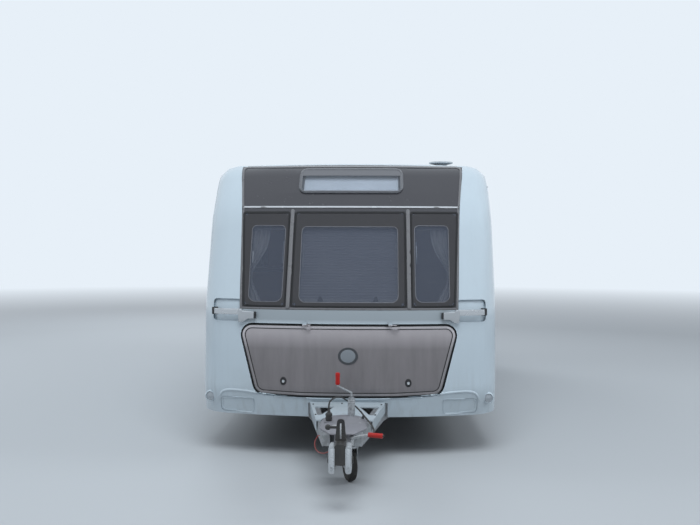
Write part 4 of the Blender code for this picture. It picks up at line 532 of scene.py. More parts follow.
def skin_of(node, name, look, bevel=0.0, angle=30):
    """A clean copy of a CAD node's shape: merged, flat faces joined, edges softened, smooth between."""
    piece = bpy.data.objects.new(name, nodes[node].data.copy())
    bpy.context.scene.collection.objects.link(piece)
    take(piece)
    bpy.ops.object.mode_set(mode="EDIT")
    bpy.ops.mesh.select_all(action="SELECT")
    bpy.ops.mesh.remove_doubles(threshold=0.00002)
    bpy.ops.mesh.dissolve_limited(angle_limit=math.radians(0.6))
    bpy.ops.object.mode_set(mode="OBJECT")
    if bevel:
        softener = piece.modifiers.new("soft_edges", "BEVEL")
        softener.width = bevel
        softener.segments = 2
        softener.limit_method = "ANGLE"
        softener.angle_limit = math.radians(38)
        softener.harden_normals = False
        softener.miter_outer = "MITER_ARC"
        bpy.ops.object.modifier_apply(modifier=softener.name)
    bpy.ops.object.shade_smooth_by_angle(angle=math.radians(angle))
    weights = piece.modifiers.new("even_shading", "WEIGHTED_NORMAL")
    weights.keep_sharp = True
    bpy.ops.object.modifier_apply(modifier=weights.name)
    body = nodes[node]["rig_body"]
    return settle(piece, name, body, look, (node,))


def painted_shade_under_windows(look):
    """A greyer band between the windows and the locker lid: painted shade on the strip under the windows."""
    tree = look.node_tree
    colour = tree.nodes["Principled BSDF"].inputs["Base Color"]
    _, split = place_in(tree)
    height = sum_of(tree, "MULTIPLY", spread(tree, split["Z"], 1.005, 1.040),
                    spread(tree, split["Z"], 1.125, 1.110))
    inside = spread(tree, sum_of(tree, "ABSOLUTE", split["X"]), 0.72, 0.84, 0.62, 0.0)
    ahead = spread(tree, split["Y"], -1.9, -2.0)
    share = sum_of(tree, "MULTIPLY", sum_of(tree, "MULTIPLY", height, inside), ahead)
    tree.links.new(blended(tree, share, colour.links[0].from_socket, (0.20, 0.215, 0.225)), colour)


white_gel = dress(finish("white_gel_coat", (0.54, 0.615, 0.665), 0.17, coat=0.35), grain=60, depth=0.0003,
                  change=0.03, film=0.34, low=0.30, high=0.70)
white_sheet = dress(finish("white_painted_sheet", (0.53, 0.60, 0.65), 0.26, coat=0.2), grain=90,
                    depth=0.00005, change=0.04, film=0.20, low=0.30, high=0.9)
roof_sheet = dress(finish("roof_sheet", (0.52, 0.595, 0.645), 0.32, coat=0.1), grain=90, depth=0.00008,
                   film=0.10, low=2.0, high=3.4, film_colour=(0.36, 0.42, 0.45))
front_moulding = skin_of("front_panel", "front_moulding", white_gel, 0.0015)
# Painted shade: a greyer band on the white gel coat under the front windows.
painted_shade_under_windows(white_gel)
skin_of("rear_panel", "rear_moulding", white_gel, 0.002)
skin_of("roof", "roof_skin", roof_sheet, 0.0)
skin_of("side_wall_left", "side_sheet_left", white_sheet, 0.0)
skin_of("side_wall_right", "side_sheet_right", white_sheet, 0.0)


# Dark front
# The surround of the windows is a dark grey gloss moulding, and the panel above it is the same, with its
# bevelled edge painted a lighter grey as a highlight. A silver strip covers the joint between the two.


def rounded(corners, steps=7):
    """The points of an outline through the corners (x, z, radius), with an arc at each."""
    points = []
    for before, (x, z, radius), after in zip(corners[-1:] + corners[:-1], corners, corners[1:] + corners[:1]):
        corner = Vector((x, z))
        ahead = (Vector(before[:2]) - corner).normalized()
        behind = (Vector(after[:2]) - corner).normalized()
        half = ahead.angle(behind) / 2
        if not radius or half > math.radians(88):
            points.append(corner)
            continue
        reach = radius / math.tan(half)
        centre = corner + (ahead + behind).normalized() * radius / math.sin(half)
        start = corner + ahead * reach - centre
        sweep = start.angle_signed(corner + behind * reach - centre)
        for step in range(steps + 1):
            turn = -sweep * step / steps
            points.append(centre + Vector((
                start.x * math.cos(turn) - start.y * math.sin(turn),
                start.x * math.sin(turn) + start.y * math.cos(turn),
            )))
    return points


def rectangle(low_x, low_z, high_x, high_z, radius):
    """The outline of a rectangle with corners of that radius."""
    return rounded([(low_x, low_z, radius), (high_x, low_z, radius), (high_x, high_z, radius),
                    (low_x, high_z, radius)])


def flat_face(points, aim="-Y", at=0.0):
    """One flat face through the outline's points, facing the aim, at that distance along its axis."""
    deselect()
    bpy.ops.mesh.primitive_circle_add(vertices=len(points), fill_type="NGON")
    thing = bpy.context.object
    for vert, (across, up) in zip(thing.data.vertices, points):
        if aim in ("-Y", "+Y"):
            vert.co = (across, at, up)
        elif aim in ("-X", "+X"):
            vert.co = (at, across, up)
        else:
            vert.co = (across, up, at)
    mesh = thing.data
    mesh.update()
    outward = {"-Y": (0, -1, 0), "+Y": (0, 1, 0), "-X": (-1, 0, 0), "+X": (1, 0, 0), "+Z": (0, 0, 1),
               "-Z": (0, 0, -1)}
    if mesh.polygons[0].normal.dot(Vector(outward[aim])) < 0:
        mesh.flip_normals()
    return thing


def ring_of(thing, width):
    """The face's border of that width alone."""
    take(thing)
    bpy.ops.object.mode_set(mode="EDIT")
    bpy.ops.mesh.select_all(action="SELECT")
    bpy.ops.mesh.inset(thickness=width, use_even_offset=True)
    bpy.ops.mesh.delete(type="FACE")
    bpy.ops.object.mode_set(mode="OBJECT")
    return thing


def sliced(thing, cell, axes="XZ"):
    """Cuts across the flat shape every cell, so that it can follow a curved surface."""
    take(thing)
    corners = [vert.co.copy() for vert in thing.data.vertices]
    bpy.ops.object.mode_set(mode="EDIT")
    for axis in axes:
        index = "XYZ".index(axis)
        low = min(corner[index] for corner in corners)
        high = max(corner[index] for corner in corners)
        for number in range(math.ceil(low / cell + 0.01), math.ceil(high / cell - 0.01)):
            across = [0, 0, 0]
            across[index] = 1
            spot = [0, 0, 0]
            spot[index] = number * cell
            bpy.ops.mesh.select_all(action="SELECT")
            bpy.ops.mesh.bisect(plane_co=spot, plane_no=across)
    bpy.ops.object.mode_set(mode="OBJECT")
    return thing


def apply_all(thing):
    """The modifiers' work goes into the mesh."""
    take(thing)
    for name in [modifier.name for modifier in thing.modifiers]:
        bpy.ops.object.modifier_apply(modifier=name)
    return thing


def thickened(thing, thick, bevel=0.0, segments=2, angle=45):
    """The flat shape with a thickness behind it, and softened edges."""
    wall = thing.modifiers.new("wall", "SOLIDIFY")
    wall.thickness = thick
    wall.offset = -1
    wall.use_even_offset = False
    if bevel:
        softener = thing.modifiers.new("soft_edges", "BEVEL")
        softener.width = bevel
        softener.segments = segments
        softener.limit_method = "ANGLE"
        softener.angle_limit = math.radians(angle)
    apply_all(thing)
    bpy.ops.object.shade_smooth_by_angle(angle=math.radians(40))
    return thing


def plate(points, aim, at, thick, bevel=0.0, segments=2):
    """A flat plate whose front face lies in the plane that faces the aim."""
    return thickened(flat_face(points, aim, at), thick, bevel, segments)


def surface_of(*names):
    """The outer surface of CAD nodes, to lay other pieces on."""
    build = bmesh.new()
    for name in names:
        build.from_mesh(nodes[name].data)
    tree = BVHTree.FromBMesh(build)
    build.free()
    return tree


def spot_on(tree, point, aim):
    """Where a line through the point meets the surface, looking along the aim, and the normal there.

    Four lines close by are tried too, so that a narrow seam between panels doesn't let the line through.
    """
    aim = Vector(aim)
    start = Vector(point) - aim * (Vector(point).dot(aim) + 8)
    aside = aim.orthogonal().normalized()
    found = []
    for share in (Vector(), aside, -aside, aside.cross(aim), -aside.cross(aim)):
        place, normal, _, distance = tree.ray_cast(start + share * 0.0025, aim)
        if place is not None:
            found.append((distance, normal))
    if not found:
        place, normal, _, _ = tree.find_nearest(Vector(point))
        return place, normal
    distance, normal = sorted(found, key=lambda hit: hit[0])[min(1, len(found) - 1)]
    return start + aim * distance, normal


def wrapped(thing, tree, proud, aim=(0, 1, 0)):
    """The shape laid on a surface along the aim, to stand proud of it."""
    for vert in thing.data.vertices:
        place, normal = spot_on(tree, vert.co, aim)
        vert.co = place + normal * proud
    thing.data.update()
    return thing


def front_spot(x, z):
    """The place on the body's front at (x, z), and the normal there."""
    return spot_on(front_guide, (x, 0, z), (0, 1, 0))


def on_front(name, points, look, proud, thick, width=0.0, bevel=0.0008, cell=0.03, body="caravan"):
    """A plate, or a ring of that width, that lies on the curved front of the body."""
    thing = flat_face(points, "-Y", -4.0)
    if width:
        ring_of(thing, width)
    sliced(thing, cell)
    wrapped(thing, front_guide, proud)
    thickened(thing, thick, bevel)
    return settle(thing, name, body, look)


front_guide = surface_of(
    "front_panel", "front_surround", "front_upper_panel", "front_window_left", "front_window_centre",
    "front_window_right", "front_skylight", "gas_locker_lid",
)
dark_gloss = dress(finish("dark_gloss", (0.052, 0.050, 0.056), 0.22, coat=0.1), grain=90, depth=0.0002,
                   film=0.10)
dark_edge = dress(finish("dark_edge", (0.155, 0.150, 0.155), 0.30, coat=0.2), grain=120, depth=0.0002,
                  film=0.15)
silver_trim = dress(finish("silver_trim", (0.62, 0.63, 0.65), 0.24, metal=0.55), grain=300, film=0.12)
skin_of("front_surround", "window_surround", dark_gloss, 0.002)
skin_of("front_upper_panel", "upper_front_panel", dark_gloss)
TRIM_LINE = 1.90
on_front("trim_strip", rectangle(-0.866, TRIM_LINE - 0.006, 0.866, TRIM_LINE + 0.006, 0.003), silver_trim,
         0.004, 0.005)
# The lighter grey ring round the upper panel is a painted highlight on its bevelled edge.
on_front(
    "upper_panel_edge",
    rounded([(-0.868, TRIM_LINE - 0.008, 0.004), (0.868, TRIM_LINE - 0.008, 0.004), (0.920, 2.262, 0.045),
             (-0.920, 2.262, 0.045)]),
    dark_edge, 0.003, 0.004, width=0.016, bevel=0.0012,
)
on_front(
    "surround_edge",
    rounded([(-0.826, 1.114, 0.012), (0.826, 1.114, 0.012), (0.865, TRIM_LINE + 0.008, 0.006),
             (-0.865, TRIM_LINE + 0.008, 0.006)]),
    dark_edge, 0.003, 0.004, width=0.014, bevel=0.0012,
)


# Front windows
# Three double panes of smoked acrylic in black rubber gaskets. A dark printed border hides the frame behind,
# and a thin light line shows where it ends. Rounded beads cover the joints between the panes.

gasket_rubber = dress(finish("gasket_rubber", (0.010, 0.010, 0.011), 0.55), grain=900, film=0.15)
printed_border = finish("printed_border", (0.028, 0.026, 0.029), 0.16, coat=0.1)
dress(printed_border, grain=30, depth=0.0001, change=0.02, film=0.10)
rim_line = finish("rim_line", (0.14, 0.14, 0.155), 0.25)
dress(rim_line, grain=300, film=0.1)


def smoked(name, colour, alpha):
    """Tinted acrylic: glossy and see-through, with a little dust on it."""
    look = finish(name, colour, 0.035, coat=0.0, shine=0.5)
    look.node_tree.nodes["Principled BSDF"].inputs["Alpha"].default_value = alpha
    dress(look, grain=20, depth=0.0001, change=0.012, film=0.05, low=0.9, high=2.4,
          film_colour=(0.45, 0.44, 0.43))
    return look


smoked_acrylic = smoked("smoked_acrylic", (0.085, 0.098, 0.135), 0.50)
CENTRE_CLEAR = rounded([(-0.374, 1.168, 0.050), (0.374, 1.168, 0.050), (0.374, 1.742, 0.036),
                        (-0.374, 1.742, 0.036)])
CENTRE_PANE = rectangle(-0.429, 1.137, 0.429, 1.855, 0.014)


def side_outline(side, shape):
    """An outline given for the right, on either side, in the same turn."""
    points = [(side * x, z, radius) for x, z, radius in shape]
    return rounded(points if side > 0 else points[::-1])


SIDE_PANE = [(0.481, 1.137, 0.014), (0.799, 1.137, 0.014), (0.847, 1.855, 0.014), (0.481, 1.855, 0.014)]
SIDE_CLEAR = [(0.503, 1.170, 0.055), (0.764, 1.170, 0.055), (0.770, 1.752, 0.036), (0.503, 1.752, 0.036)]
FRONT_WINDOWS = (
    ("centre", CENTRE_PANE, CENTRE_CLEAR),
    ("left", side_outline(-1, SIDE_PANE), side_outline(-1, SIDE_CLEAR)),
    ("right", side_outline(1, SIDE_PANE), side_outline(1, SIDE_CLEAR)),
)


def bordered_face(outside, inside):
    """The flat band between two outlines, which may differ in shape."""
    band = flat_face(outside, "-Y", -4.0)
    hole = flat_face(inside, "-Y", -4.0)
    for face in (band, hole):
        take(face)
        bpy.ops.object.mode_set(mode="EDIT")
        bpy.ops.mesh.select_all(action="SELECT")
        bpy.ops.mesh.delete(type="ONLY_FACE")
        bpy.ops.object.mode_set(mode="OBJECT")
    joined(band, hole)
    bpy.ops.object.mode_set(mode="EDIT")
    bpy.ops.mesh.select_all(action="SELECT")
    bpy.ops.mesh.bridge_edge_loops()
    bpy.ops.object.mode_set(mode="OBJECT")
    if band.data.polygons[0].normal.y > 0:
        band.data.flip_normals()
    return band


def grown(points, by):
    """An outline moved outwards by a distance, or inwards where it is negative."""
    middle = sum(points, Vector((0, 0))) / len(points)
    moved = []
    for before, point, after in zip(points[-1:] + points[:-1], points, points[1:] + points[:1]):
        along = after - before
        aside = Vector((along.y, -along.x)).normalized()
        if aside.dot(point - middle) < 0:
            aside = -aside
        moved.append(point + aside * by)
    return moved


for label, pane, clear in FRONT_WINDOWS:
    skin_of(f"front_window_{label}", f"window_pane_{label}", smoked_acrylic, 0.001)
    border = bordered_face(grown(pane, -0.001), clear)
    sliced(border, 0.03)
    wrapped(border, front_guide, 0.0008)
    thickened(border, 0.0008)
    settle(border, f"printed_border_{label}", "caravan", printed_border)
    on_front(f"rim_line_{label}", grown(clear, 0.002), rim_line, 0.0014, 0.0012, width=0.005, bevel=0)
    on_front(f"gasket_{label}", grown(pane, 0.008), gasket_rubber, 0.0045, 0.007, width=0.014, bevel=0.002)
SIDES = ((-1, "left"), (1, "right"))
for side, label in SIDES:
    edges = sorted((side * 0.441, side * 0.469))
    on_front(f"window_bead_{label}", rectangle(edges[0], 1.120, edges[1], 1.878, 0.013), dark_edge, 0.012,
             0.016, bevel=0.006, cell=0.02)


# Front skylight
# A long low pane in a grey frame, with a pale pleated blind drawn across behind it.

SKYLIGHT = rectangle(-0.418, 2.020, 0.418, 2.230, 0.050)
SKYLIGHT_CLEAR = rectangle(-0.400, 2.038, 0.400, 2.168, 0.008)
clear_acrylic = smoked("clear_acrylic", (0.42, 0.45, 0.50), 0.16)
skin_of("front_skylight", "skylight_pane", clear_acrylic, 0.004)
frame_grey = dress(finish("frame_grey", (0.145, 0.145, 0.155), 0.38), grain=260, film=0.2)
border = bordered_face(grown(SKYLIGHT, -0.004), SKYLIGHT_CLEAR)
sliced(border, 0.03)
wrapped(border, front_guide, 0.0015)
thickened(border, 0.0015)
settle(border, "skylight_frame", "caravan", frame_grey)
on_front("skylight_lip", grown(SKYLIGHT, 0.004), frame_grey, 0.006, 0.014, width=0.012, bevel=0.003)


# Blinds and curtains of the front
# A pleated blind is drawn down behind the centre pane and another across the skylight, each in a light rail.
# White lined curtains are gathered at the outer sides of the side windows. The panes' stays show as light
# bars.


def cloth(name, colour, threads=900.0, rough=0.9, sheen=0.25):
    """Woven cloth: a fine two-way weave in its colour and bump, with a soft sheen."""
    look = finish(name, colour, rough, shine=0.2)
    tree = look.node_tree
    shader = tree.nodes["Principled BSDF"]
    shader.inputs["Sheen Weight"].default_value = sheen
    place, split = place_in(tree)
    diagonal = sum_of(tree, "ADD", split["X"], split["Y"])
    across = sum_of(tree, "SINE", sum_of(tree, "MULTIPLY", diagonal, threads * math.tau))
    up = sum_of(tree, "SINE", sum_of(tree, "MULTIPLY", split["Z"], threads * math.tau))
    weave = spread(tree, sum_of(tree, "MULTIPLY", across, up), -1.0, 1.0)
    slow = spread(tree, noise(tree, place, 6.0, 4.0), 0.3, 0.7)
    shade = sum_of(tree, "MULTIPLY_ADD", weave, 0.35, sum_of(tree, "MULTIPLY", slow, 0.4))
    dark = tuple(channel * 0.78 for channel in colour)
    tree.links.new(blended(tree, shade, dark, colour), shader.inputs["Base Color"])
    return bumped(look, weave, 0.0003)


def sheet_grid(columns, rows, spot):
    """A sheet of columns x rows cells, each corner where spot(across, up) puts it, for shares 0 to 1."""
    deselect()
    bpy.ops.mesh.primitive_grid_add(x_subdivisions=columns, y_subdivisions=rows, size=1)
    thing = bpy.context.object
    for vert in thing.data.vertices:
        vert.co = spot(vert.co.x + 0.5, vert.co.y + 0.5)
    thing.data.update()
    bpy.ops.object.shade_smooth()
    return thing


def front_pleats(name, half, low, high, pitch, deep, inset, look):
    """A pleated blind behind a front pane, following the pane's bow."""
    folds = round((high - low) / pitch) * 2

    def spot(across, up):
        place, normal = front_spot((across * 2 - 1) * half, low + (high - low) * up)
        return place - normal * (inset + (deep if round(up * folds) % 2 else 0.0))

    thing = sheet_grid(28, folds, spot)
    bpy.ops.object.shade_flat()
    return settle(thing, name, "caravan", look)


blind_grey = cloth("blind_grey", (0.46, 0.47, 0.54), threads=700.0)
blind_white = cloth("blind_white", (0.66, 0.72, 0.80), threads=700.0)
curtain_white = cloth("curtain_white", (0.86, 0.87, 0.89), threads=500.0)
pale_plastic = dress(finish("pale_plastic", (0.52, 0.53, 0.56), 0.42), grain=500, film=0.08)
front_blind = front_pleats("front_blind", 0.388, 1.205, 1.755, 0.020, 0.003, 0.045, blind_grey)
skylight_blind = front_pleats("skylight_blind", 0.385, 2.046, 2.205, 0.0125, 0.007, 0.040, blind_white)


def behind_front(name, points, inset, thick, look, bevel=0.002):
    """A plate inside the cabin that follows the front's bow behind the panes."""
    thing = flat_face(points, "-Y", -4.0)
    sliced(thing, 0.04)
    wrapped(thing, front_guide, -inset)
    thickened(thing, thick, bevel)
    return settle(thing, name, "caravan", look)


behind_front("blind_rail", rectangle(-0.392, 1.168, 0.392, 1.207, 0.006), 0.038, 0.016, pale_plastic)
behind_front("blind_top_rail", rectangle(-0.392, 1.752, 0.392, 1.782, 0.006), 0.038, 0.020, pale_plastic)
behind_front("skylight_rail", rectangle(-0.390, 2.036, 0.390, 2.050, 0.003), 0.034, 0.014, pale_plastic)
for number, x in enumerate((-0.214, 0.206), 1):
    shape = rounded([(x - 0.022, 1.188, 0.002), (x + 0.022, 1.188, 0.002), (x + 0.010, 1.222, 0.004),
                     (x - 0.010, 1.222, 0.004)])
    behind_front(f"window_catch_{number}", shape, 0.026, 0.010, black_moulding)
STAYS = ((-0.361, 1.440, 1.630), (0.361, 1.440, 1.630), (-0.758, 1.470, 1.640), (-0.520, 1.470, 1.640),
         (0.520, 1.470, 1.640), (0.758, 1.470, 1.640))
for number, (x, low, high) in enumerate(STAYS, 1):
    behind_front(f"window_stay_{number}", rectangle(x - 0.005, low, x + 0.005, high, 0.004), 0.027, 0.008,
                 pale_plastic)
for side, label in SIDES:
    edges = sorted((side * 0.500, side * 0.800))
    rail = behind_front(f"curtain_rail_{label}", rectangle(edges[0], 1.742, edges[1], 1.764, 0.004), 0.035,
                        0.014, pale_plastic)

    def curtain_spot(across, up, side=side):
        """Gathered to the outer side: widest at the rail, drawn in at a tie a third of the way up."""
        height = 1.10 + 0.65 * up
        tie = 1 - 0.55 * math.exp(-((height - 1.36) / 0.16) ** 2) - 0.12 * (1 - up)
        x = 0.835 - 0.205 * tie * across
        place, _ = front_spot(side * min(x, 0.80), max(height, 1.15))
        fold = math.sin(across * 9 * math.pi + 0.6 * math.sin(up * 5))
        return Vector((side * x, place.y + 0.075 + 0.016 * fold + 0.03 * (1 - up), height))

    curtain = sheet_grid(90, 26, curtain_spot)
    settle(curtain, f"front_curtain_{label}", "caravan", curtain_white)


# Gas locker lid
# A large moulded lid in metallic taupe grey, with a raised lighter edge between two dark seals. Two round
# locks sit low on it. The oval disc in the middle is blank.

LID = [(-0.694, 0.482, 0.080), (-0.347, 0.470, 0), (0.347, 0.470, 0), (0.694, 0.482, 0.080),
       (0.834, 0.998, 0.080), (-0.834, 0.998, 0.080)]
LID_OUTLINE = rounded(LID, 10)


def metallic_paint(name, colour, rough):
    """Paint with fine flakes of varying shade, under a clear coat, with faint streaks left by rain, and a
    painted reflection that lightens it towards the top.
    """
    look = finish(name, colour, rough, metal=0.35, coat=0.5)
    tree = look.node_tree
    place, split = place_in(tree)
    flakes = spread(tree, noise(tree, place, 1400.0, 1.0), 0.35, 0.65)
    streaks = spread(tree, noise(tree, place, 7.0, 4.0, 0.6, (2.2, 1.0, 0.35)), 0.3, 0.75)
    shade = sum_of(tree, "MULTIPLY_ADD", flakes, 0.18, sum_of(tree, "MULTIPLY", streaks, 0.18))
    # Painted reflection of the sky: the paint is lighter towards the top of the lid.
    shade = sum_of(tree, "ADD", shade, spread(tree, split["Z"], 0.82, 0.97))
    light = tuple(channel * 2.1 for channel in colour)
    dark = tuple(channel * 0.82 for channel in colour)
    tree.links.new(blended(tree, shade, dark, light), tree.nodes["Principled BSDF"].inputs["Base Color"])
    return dress(look, grain=60, depth=0.0002, change=0.03, film=0.28, low=0.45, high=0.9,
                 film_colour=(0.11, 0.105, 0.10))


def two_looks(thing, other, wanted):
    """A second finish on the faces that are wanted."""
    thing.data.materials.append(other)
    for face in thing.data.polygons:
        if wanted(face):
            face.material_index = 1


lid_paint = metallic_paint("lid_paint", (0.205, 0.186, 0.190), 0.34)
lid_band = metallic_paint("lid_band", (0.27, 0.25, 0.255), 0.30)
skin_of("gas_locker_lid", "locker_lid_moulding", lid_paint, 0.003)
HINGE_BARREL_TOP = 1.0075
two_looks(front_moulding, lid_band, lambda face: face.center.y < -2.268
          and 0.98 < face.center.z < HINGE_BARREL_TOP and 0.20 < abs(face.center.x) < 0.42)
on_front("lid_outer_seal", grown(LID_OUTLINE, 0.001), gasket_rubber, 0.0025, 0.004, width=0.007, bevel=0.001,
         body="locker_lid")
on_front("lid_raised_edge", grown(LID_OUTLINE, -0.007), lid_band, 0.0040, 0.005, width=0.017, bevel=0.0025,
         body="locker_lid")
on_front("lid_inner_seal", grown(LID_OUTLINE, -0.0245), gasket_rubber, 0.0015, 0.002, width=0.006,
         bevel=0.0008, body="locker_lid")


def dished_on_front(name, profile, x, z, look, body="caravan", squeeze=1.0, sides=48, lift=0.0):
    """A turned piece, its axis along the front's normal at a spot, and squeezed to an oval."""
    place, normal = front_spot(x, z)
    thing = turned(profile, place + normal * lift, normal, sides)
    if squeeze != 1.0:
        take(thing)
        bpy.ops.object.transform_apply(location=False, rotation=True, scale=True)
        thing.scale.z = squeeze
    return settle(thing, name, body, look)


bright_chrome = dress(finish("bright_chrome", (0.58, 0.60, 0.62), 0.14, metal=1.0), grain=120, depth=0.00005,
                      change=0.03, film=0.10)
LOCK_RIM = [(-0.004, 0), (-0.004, 0.024), (0.003, 0.0245), (0.0062, 0.0220), (0.0066, 0.0165),
            (0.0030, 0.0150), (0.0024, 0.0)]
LOCK_BARREL = [(0.0, 0), (0.0, 0.0105), (0.0062, 0.0105), (0.0074, 0.0090), (0.0070, 0.0035),
               (0.0052, 0.0030), (0.0052, 0.0)]
for label, x, z in (("left", -0.484, 0.580), ("right", 0.450, 0.573)):
    dished_on_front(f"lid_lock_{label}", LOCK_RIM, x, z, black_moulding, "locker_lid", 1.25)
    dished_on_front(f"lid_lock_barrel_{label}", LOCK_BARREL, x, z - 0.002, bright_chrome,
                    "locker_lid")
DISC_RIM = [(-0.001, 0.054), (-0.001, 0.075), (0.0022, 0.0745), (0.0030, 0.0715), (0.0030, 0.0700),
            (0.0014, 0.0690), (0.0014, 0.0600), (0.0026, 0.0590), (0.0026, 0.0575), (0.0012, 0.0565),
            (-0.001, 0.054)]
DISC_FACE = [(-0.001, 0), (-0.001, 0.0560), (0.0014, 0.0560), (0.0024, 0.0480), (0.0028, 0.0300), (0.0030, 0)]
disc_grey = dress(finish("disc_grey", (0.235, 0.255, 0.275), 0.32, metal=0.3), grain=200, film=0.15)
dark_ring = dress(finish("dark_ring", (0.055, 0.058, 0.064), 0.35), grain=200, film=0.15)
dished_on_front("lid_disc_rim", DISC_RIM, 0.0, 0.772, dark_ring, "locker_lid", 0.86, 64)
dished_on_front("lid_disc", DISC_FACE, 0.0, 0.772, disc_grey, "locker_lid", 0.86, 64)


# Grab handles
# A flat silver strap across each finger pocket, for pushing the caravan by hand. Its outer end goes into a
# dark slot, and a bright fish-tail bracket holds the inner end at the corner of the lid.

HALF_BODY = 1.145
CORNER = 0.20


def front_at_handles(x):
    """How far along y the body's front lies at the handles' height. It bows and rounds off sideways."""
    x = abs(x)
    round_off = CORNER * (1 - math.cos(math.asin(min(1.0, max(0.0, (x - (HALF_BODY - CORNER)) / CORNER)))))
    return -2.2783 + 0.2 * (x / HALF_BODY) ** 2 + round_off


def strap(name, points, stand, thick, look, bevel, cell=0.012):
    """A plate bent round the front at a distance ahead of it."""
    thing = flat_face(points, "-Y", -4.0)
    sliced(thing, cell)
    for vert in thing.data.vertices:
        vert.co.y = front_at_handles(vert.co.x) - stand
    thickened(thing, thick, bevel, 3)
    return settle(thing, name, "caravan", look)


satin_silver = dress(finish("satin_silver", (0.60, 0.62, 0.64), 0.24, metal=0.6), grain=700, depth=0.00002,
                     film=0.08, low=0.8, high=1.4)
STRAP = [(0.806, 1.070, 0.004), (1.043, 1.072, 0.014), (1.043, 1.114, 0.014), (0.806, 1.116, 0.004)]
BRACKET = [(0.706, 1.044, 0.010), (0.758, 1.042, 0.030), (0.798, 1.016, 0.006), (0.830, 1.015, 0.004),
           (0.836, 1.068, 0.004), (0.836, 1.120, 0.006), (0.800, 1.104, 0.030), (0.706, 1.095, 0.010)]
FOOT = [(0.716, 1.052, 0.008), (0.826, 1.052, 0.008), (0.826, 1.088, 0.008), (0.716, 1.088, 0.008)]
END_CAP = [(0.700, 1.046, 0.006), (0.713, 1.044, 0.004), (0.713, 1.096, 0.004), (0.700, 1.094, 0.006)]
SLOT = [(1.032, 1.066, 0.006), (1.051, 1.068, 0.006), (1.051, 1.122, 0.006), (1.030, 1.122, 0.006)]
for side, label in SIDES:
    strap(f"handle_strap_{label}", side_outline(side, STRAP), 0.036, 0.013, satin_silver, 0.004)
    bracket = strap(f"handle_bracket_{label}", side_outline(side, BRACKET), 0.039, 0.020, bright_chrome,
                    0.0035)
    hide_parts(f"grab_handle_{label}")
    strap(f"handle_foot_{label}", side_outline(side, FOOT), 0.022, 0.024, black_moulding, 0.002)
    strap(f"handle_end_cap_{label}", side_outline(side, END_CAP), 0.041, 0.024, black_moulding, 0.002)
    strap(f"handle_slot_{label}", side_outline(side, SLOT), 0.037, 0.040, black_moulding, 0.003)


# Marker lamps and pressed lines of the front
# A round clear lamp sits in each lower corner. A raised line runs from each lamp under the lid, and two
# shallow panels are pressed into the foot.

LAMP_SPOT = (1.0676, 0.432)
LENS = [(-0.004, 0), (-0.004, 0.0330), (0.0020, 0.0335), (0.0046, 0.0315), (0.0040, 0.0290), (0.0062, 0.0250),
        (0.0056, 0.0215), (0.0080, 0.0170), (0.0076, 0.0130), (0.0094, 0.0080), (0.0098, 0)]
BEZEL = [(-0.004, 0.0335), (-0.004, 0.0400), (0.0030, 0.0400), (0.0068, 0.0375), (0.0072, 0.0355),
         (0.0030, 0.0335), (-0.004, 0.0335)]
lamp_glass = dress(finish("lamp_glass", (0.36, 0.39, 0.42), 0.10, metal=0.4, coat=0.5), grain=90,
                   depth=0.0003, film=0.12)
for side, label in SIDES:
    turn = math.radians(11)
    aim = Vector((side * math.sin(turn), -math.cos(turn), 0))
    place, _ = front_spot(side * LAMP_SPOT[0], LAMP_SPOT[1])
    settle(turned(LENS, place, aim, 40), f"marker_lens_{label}", "caravan", lamp_glass)
    settle(turned(BEZEL, place, aim, 40), f"marker_bezel_{label}", "caravan", white_gel)


def pressed_line(name, route, width, high, look):
    """A raised rounded line along a route of (x, z) on the front."""
    line = smooth_route([(x, 0, z) for x, z in route], 0.012)
    profile = ((-0.5, -0.0015), (-0.36, 0.55), (-0.12, 1.0), (0.12, 1.0), (0.36, 0.55), (0.5, -0.0015))

    def spot(along, across):
        index = min(round(along * (len(line) - 1)), len(line) - 1)
        before, after = line[max(index - 1, 0)], line[min(index + 1, len(line) - 1)]
        aside = Vector((-(after - before).z, 0, (after - before).x)).normalized()
        share, rise = profile[min(round(across * 5), 5)]
        point = line[index] + aside * share * width
        place, normal = front_spot(point.x, point.z)
        return place + normal * (rise * high if rise > 0 else rise)

    thing = sheet_grid(len(line) - 1, 5, spot)
    if sum(face.normal.y * face.area for face in thing.data.polygons) > 0:
        thing.data.flip_normals()
    thickened(thing, 0.002)
    bpy.ops.object.shade_smooth()
    return settle(thing, name, "caravan", look)


for side, label in SIDES:
    route = [(0.990, 0.425), (0.978, 0.458), (0.945, 0.488), (0.880, 0.4975), (0.760, 0.492),
             (0.640, 0.478), (0.500, 0.466), (0.360, 0.460), (0.180, 0.4565), (0.004, 0.4550)]
    pressed_line(f"pressed_line_{label}", [(side * x, z) for x, z in route], 0.017, 0.0055, white_gel)
    edge = side_outline(side, [(0.716, 0.322, 0.030), (0.974, 0.334, 0.030), (0.974, 0.440, 0.032),
                               (0.716, 0.446, 0.004)])
    on_front(f"pressed_panel_edge_{label}", edge, white_gel, 0.0035, 0.004, width=0.010, bevel=0.002)


# Drawbar and coupling
# The white cover lies on the A-frame behind a cast cap, which is bolted down. The coupling head has a
# friction pad on each side, pressed by the black lever. The brake lever has a red grip.


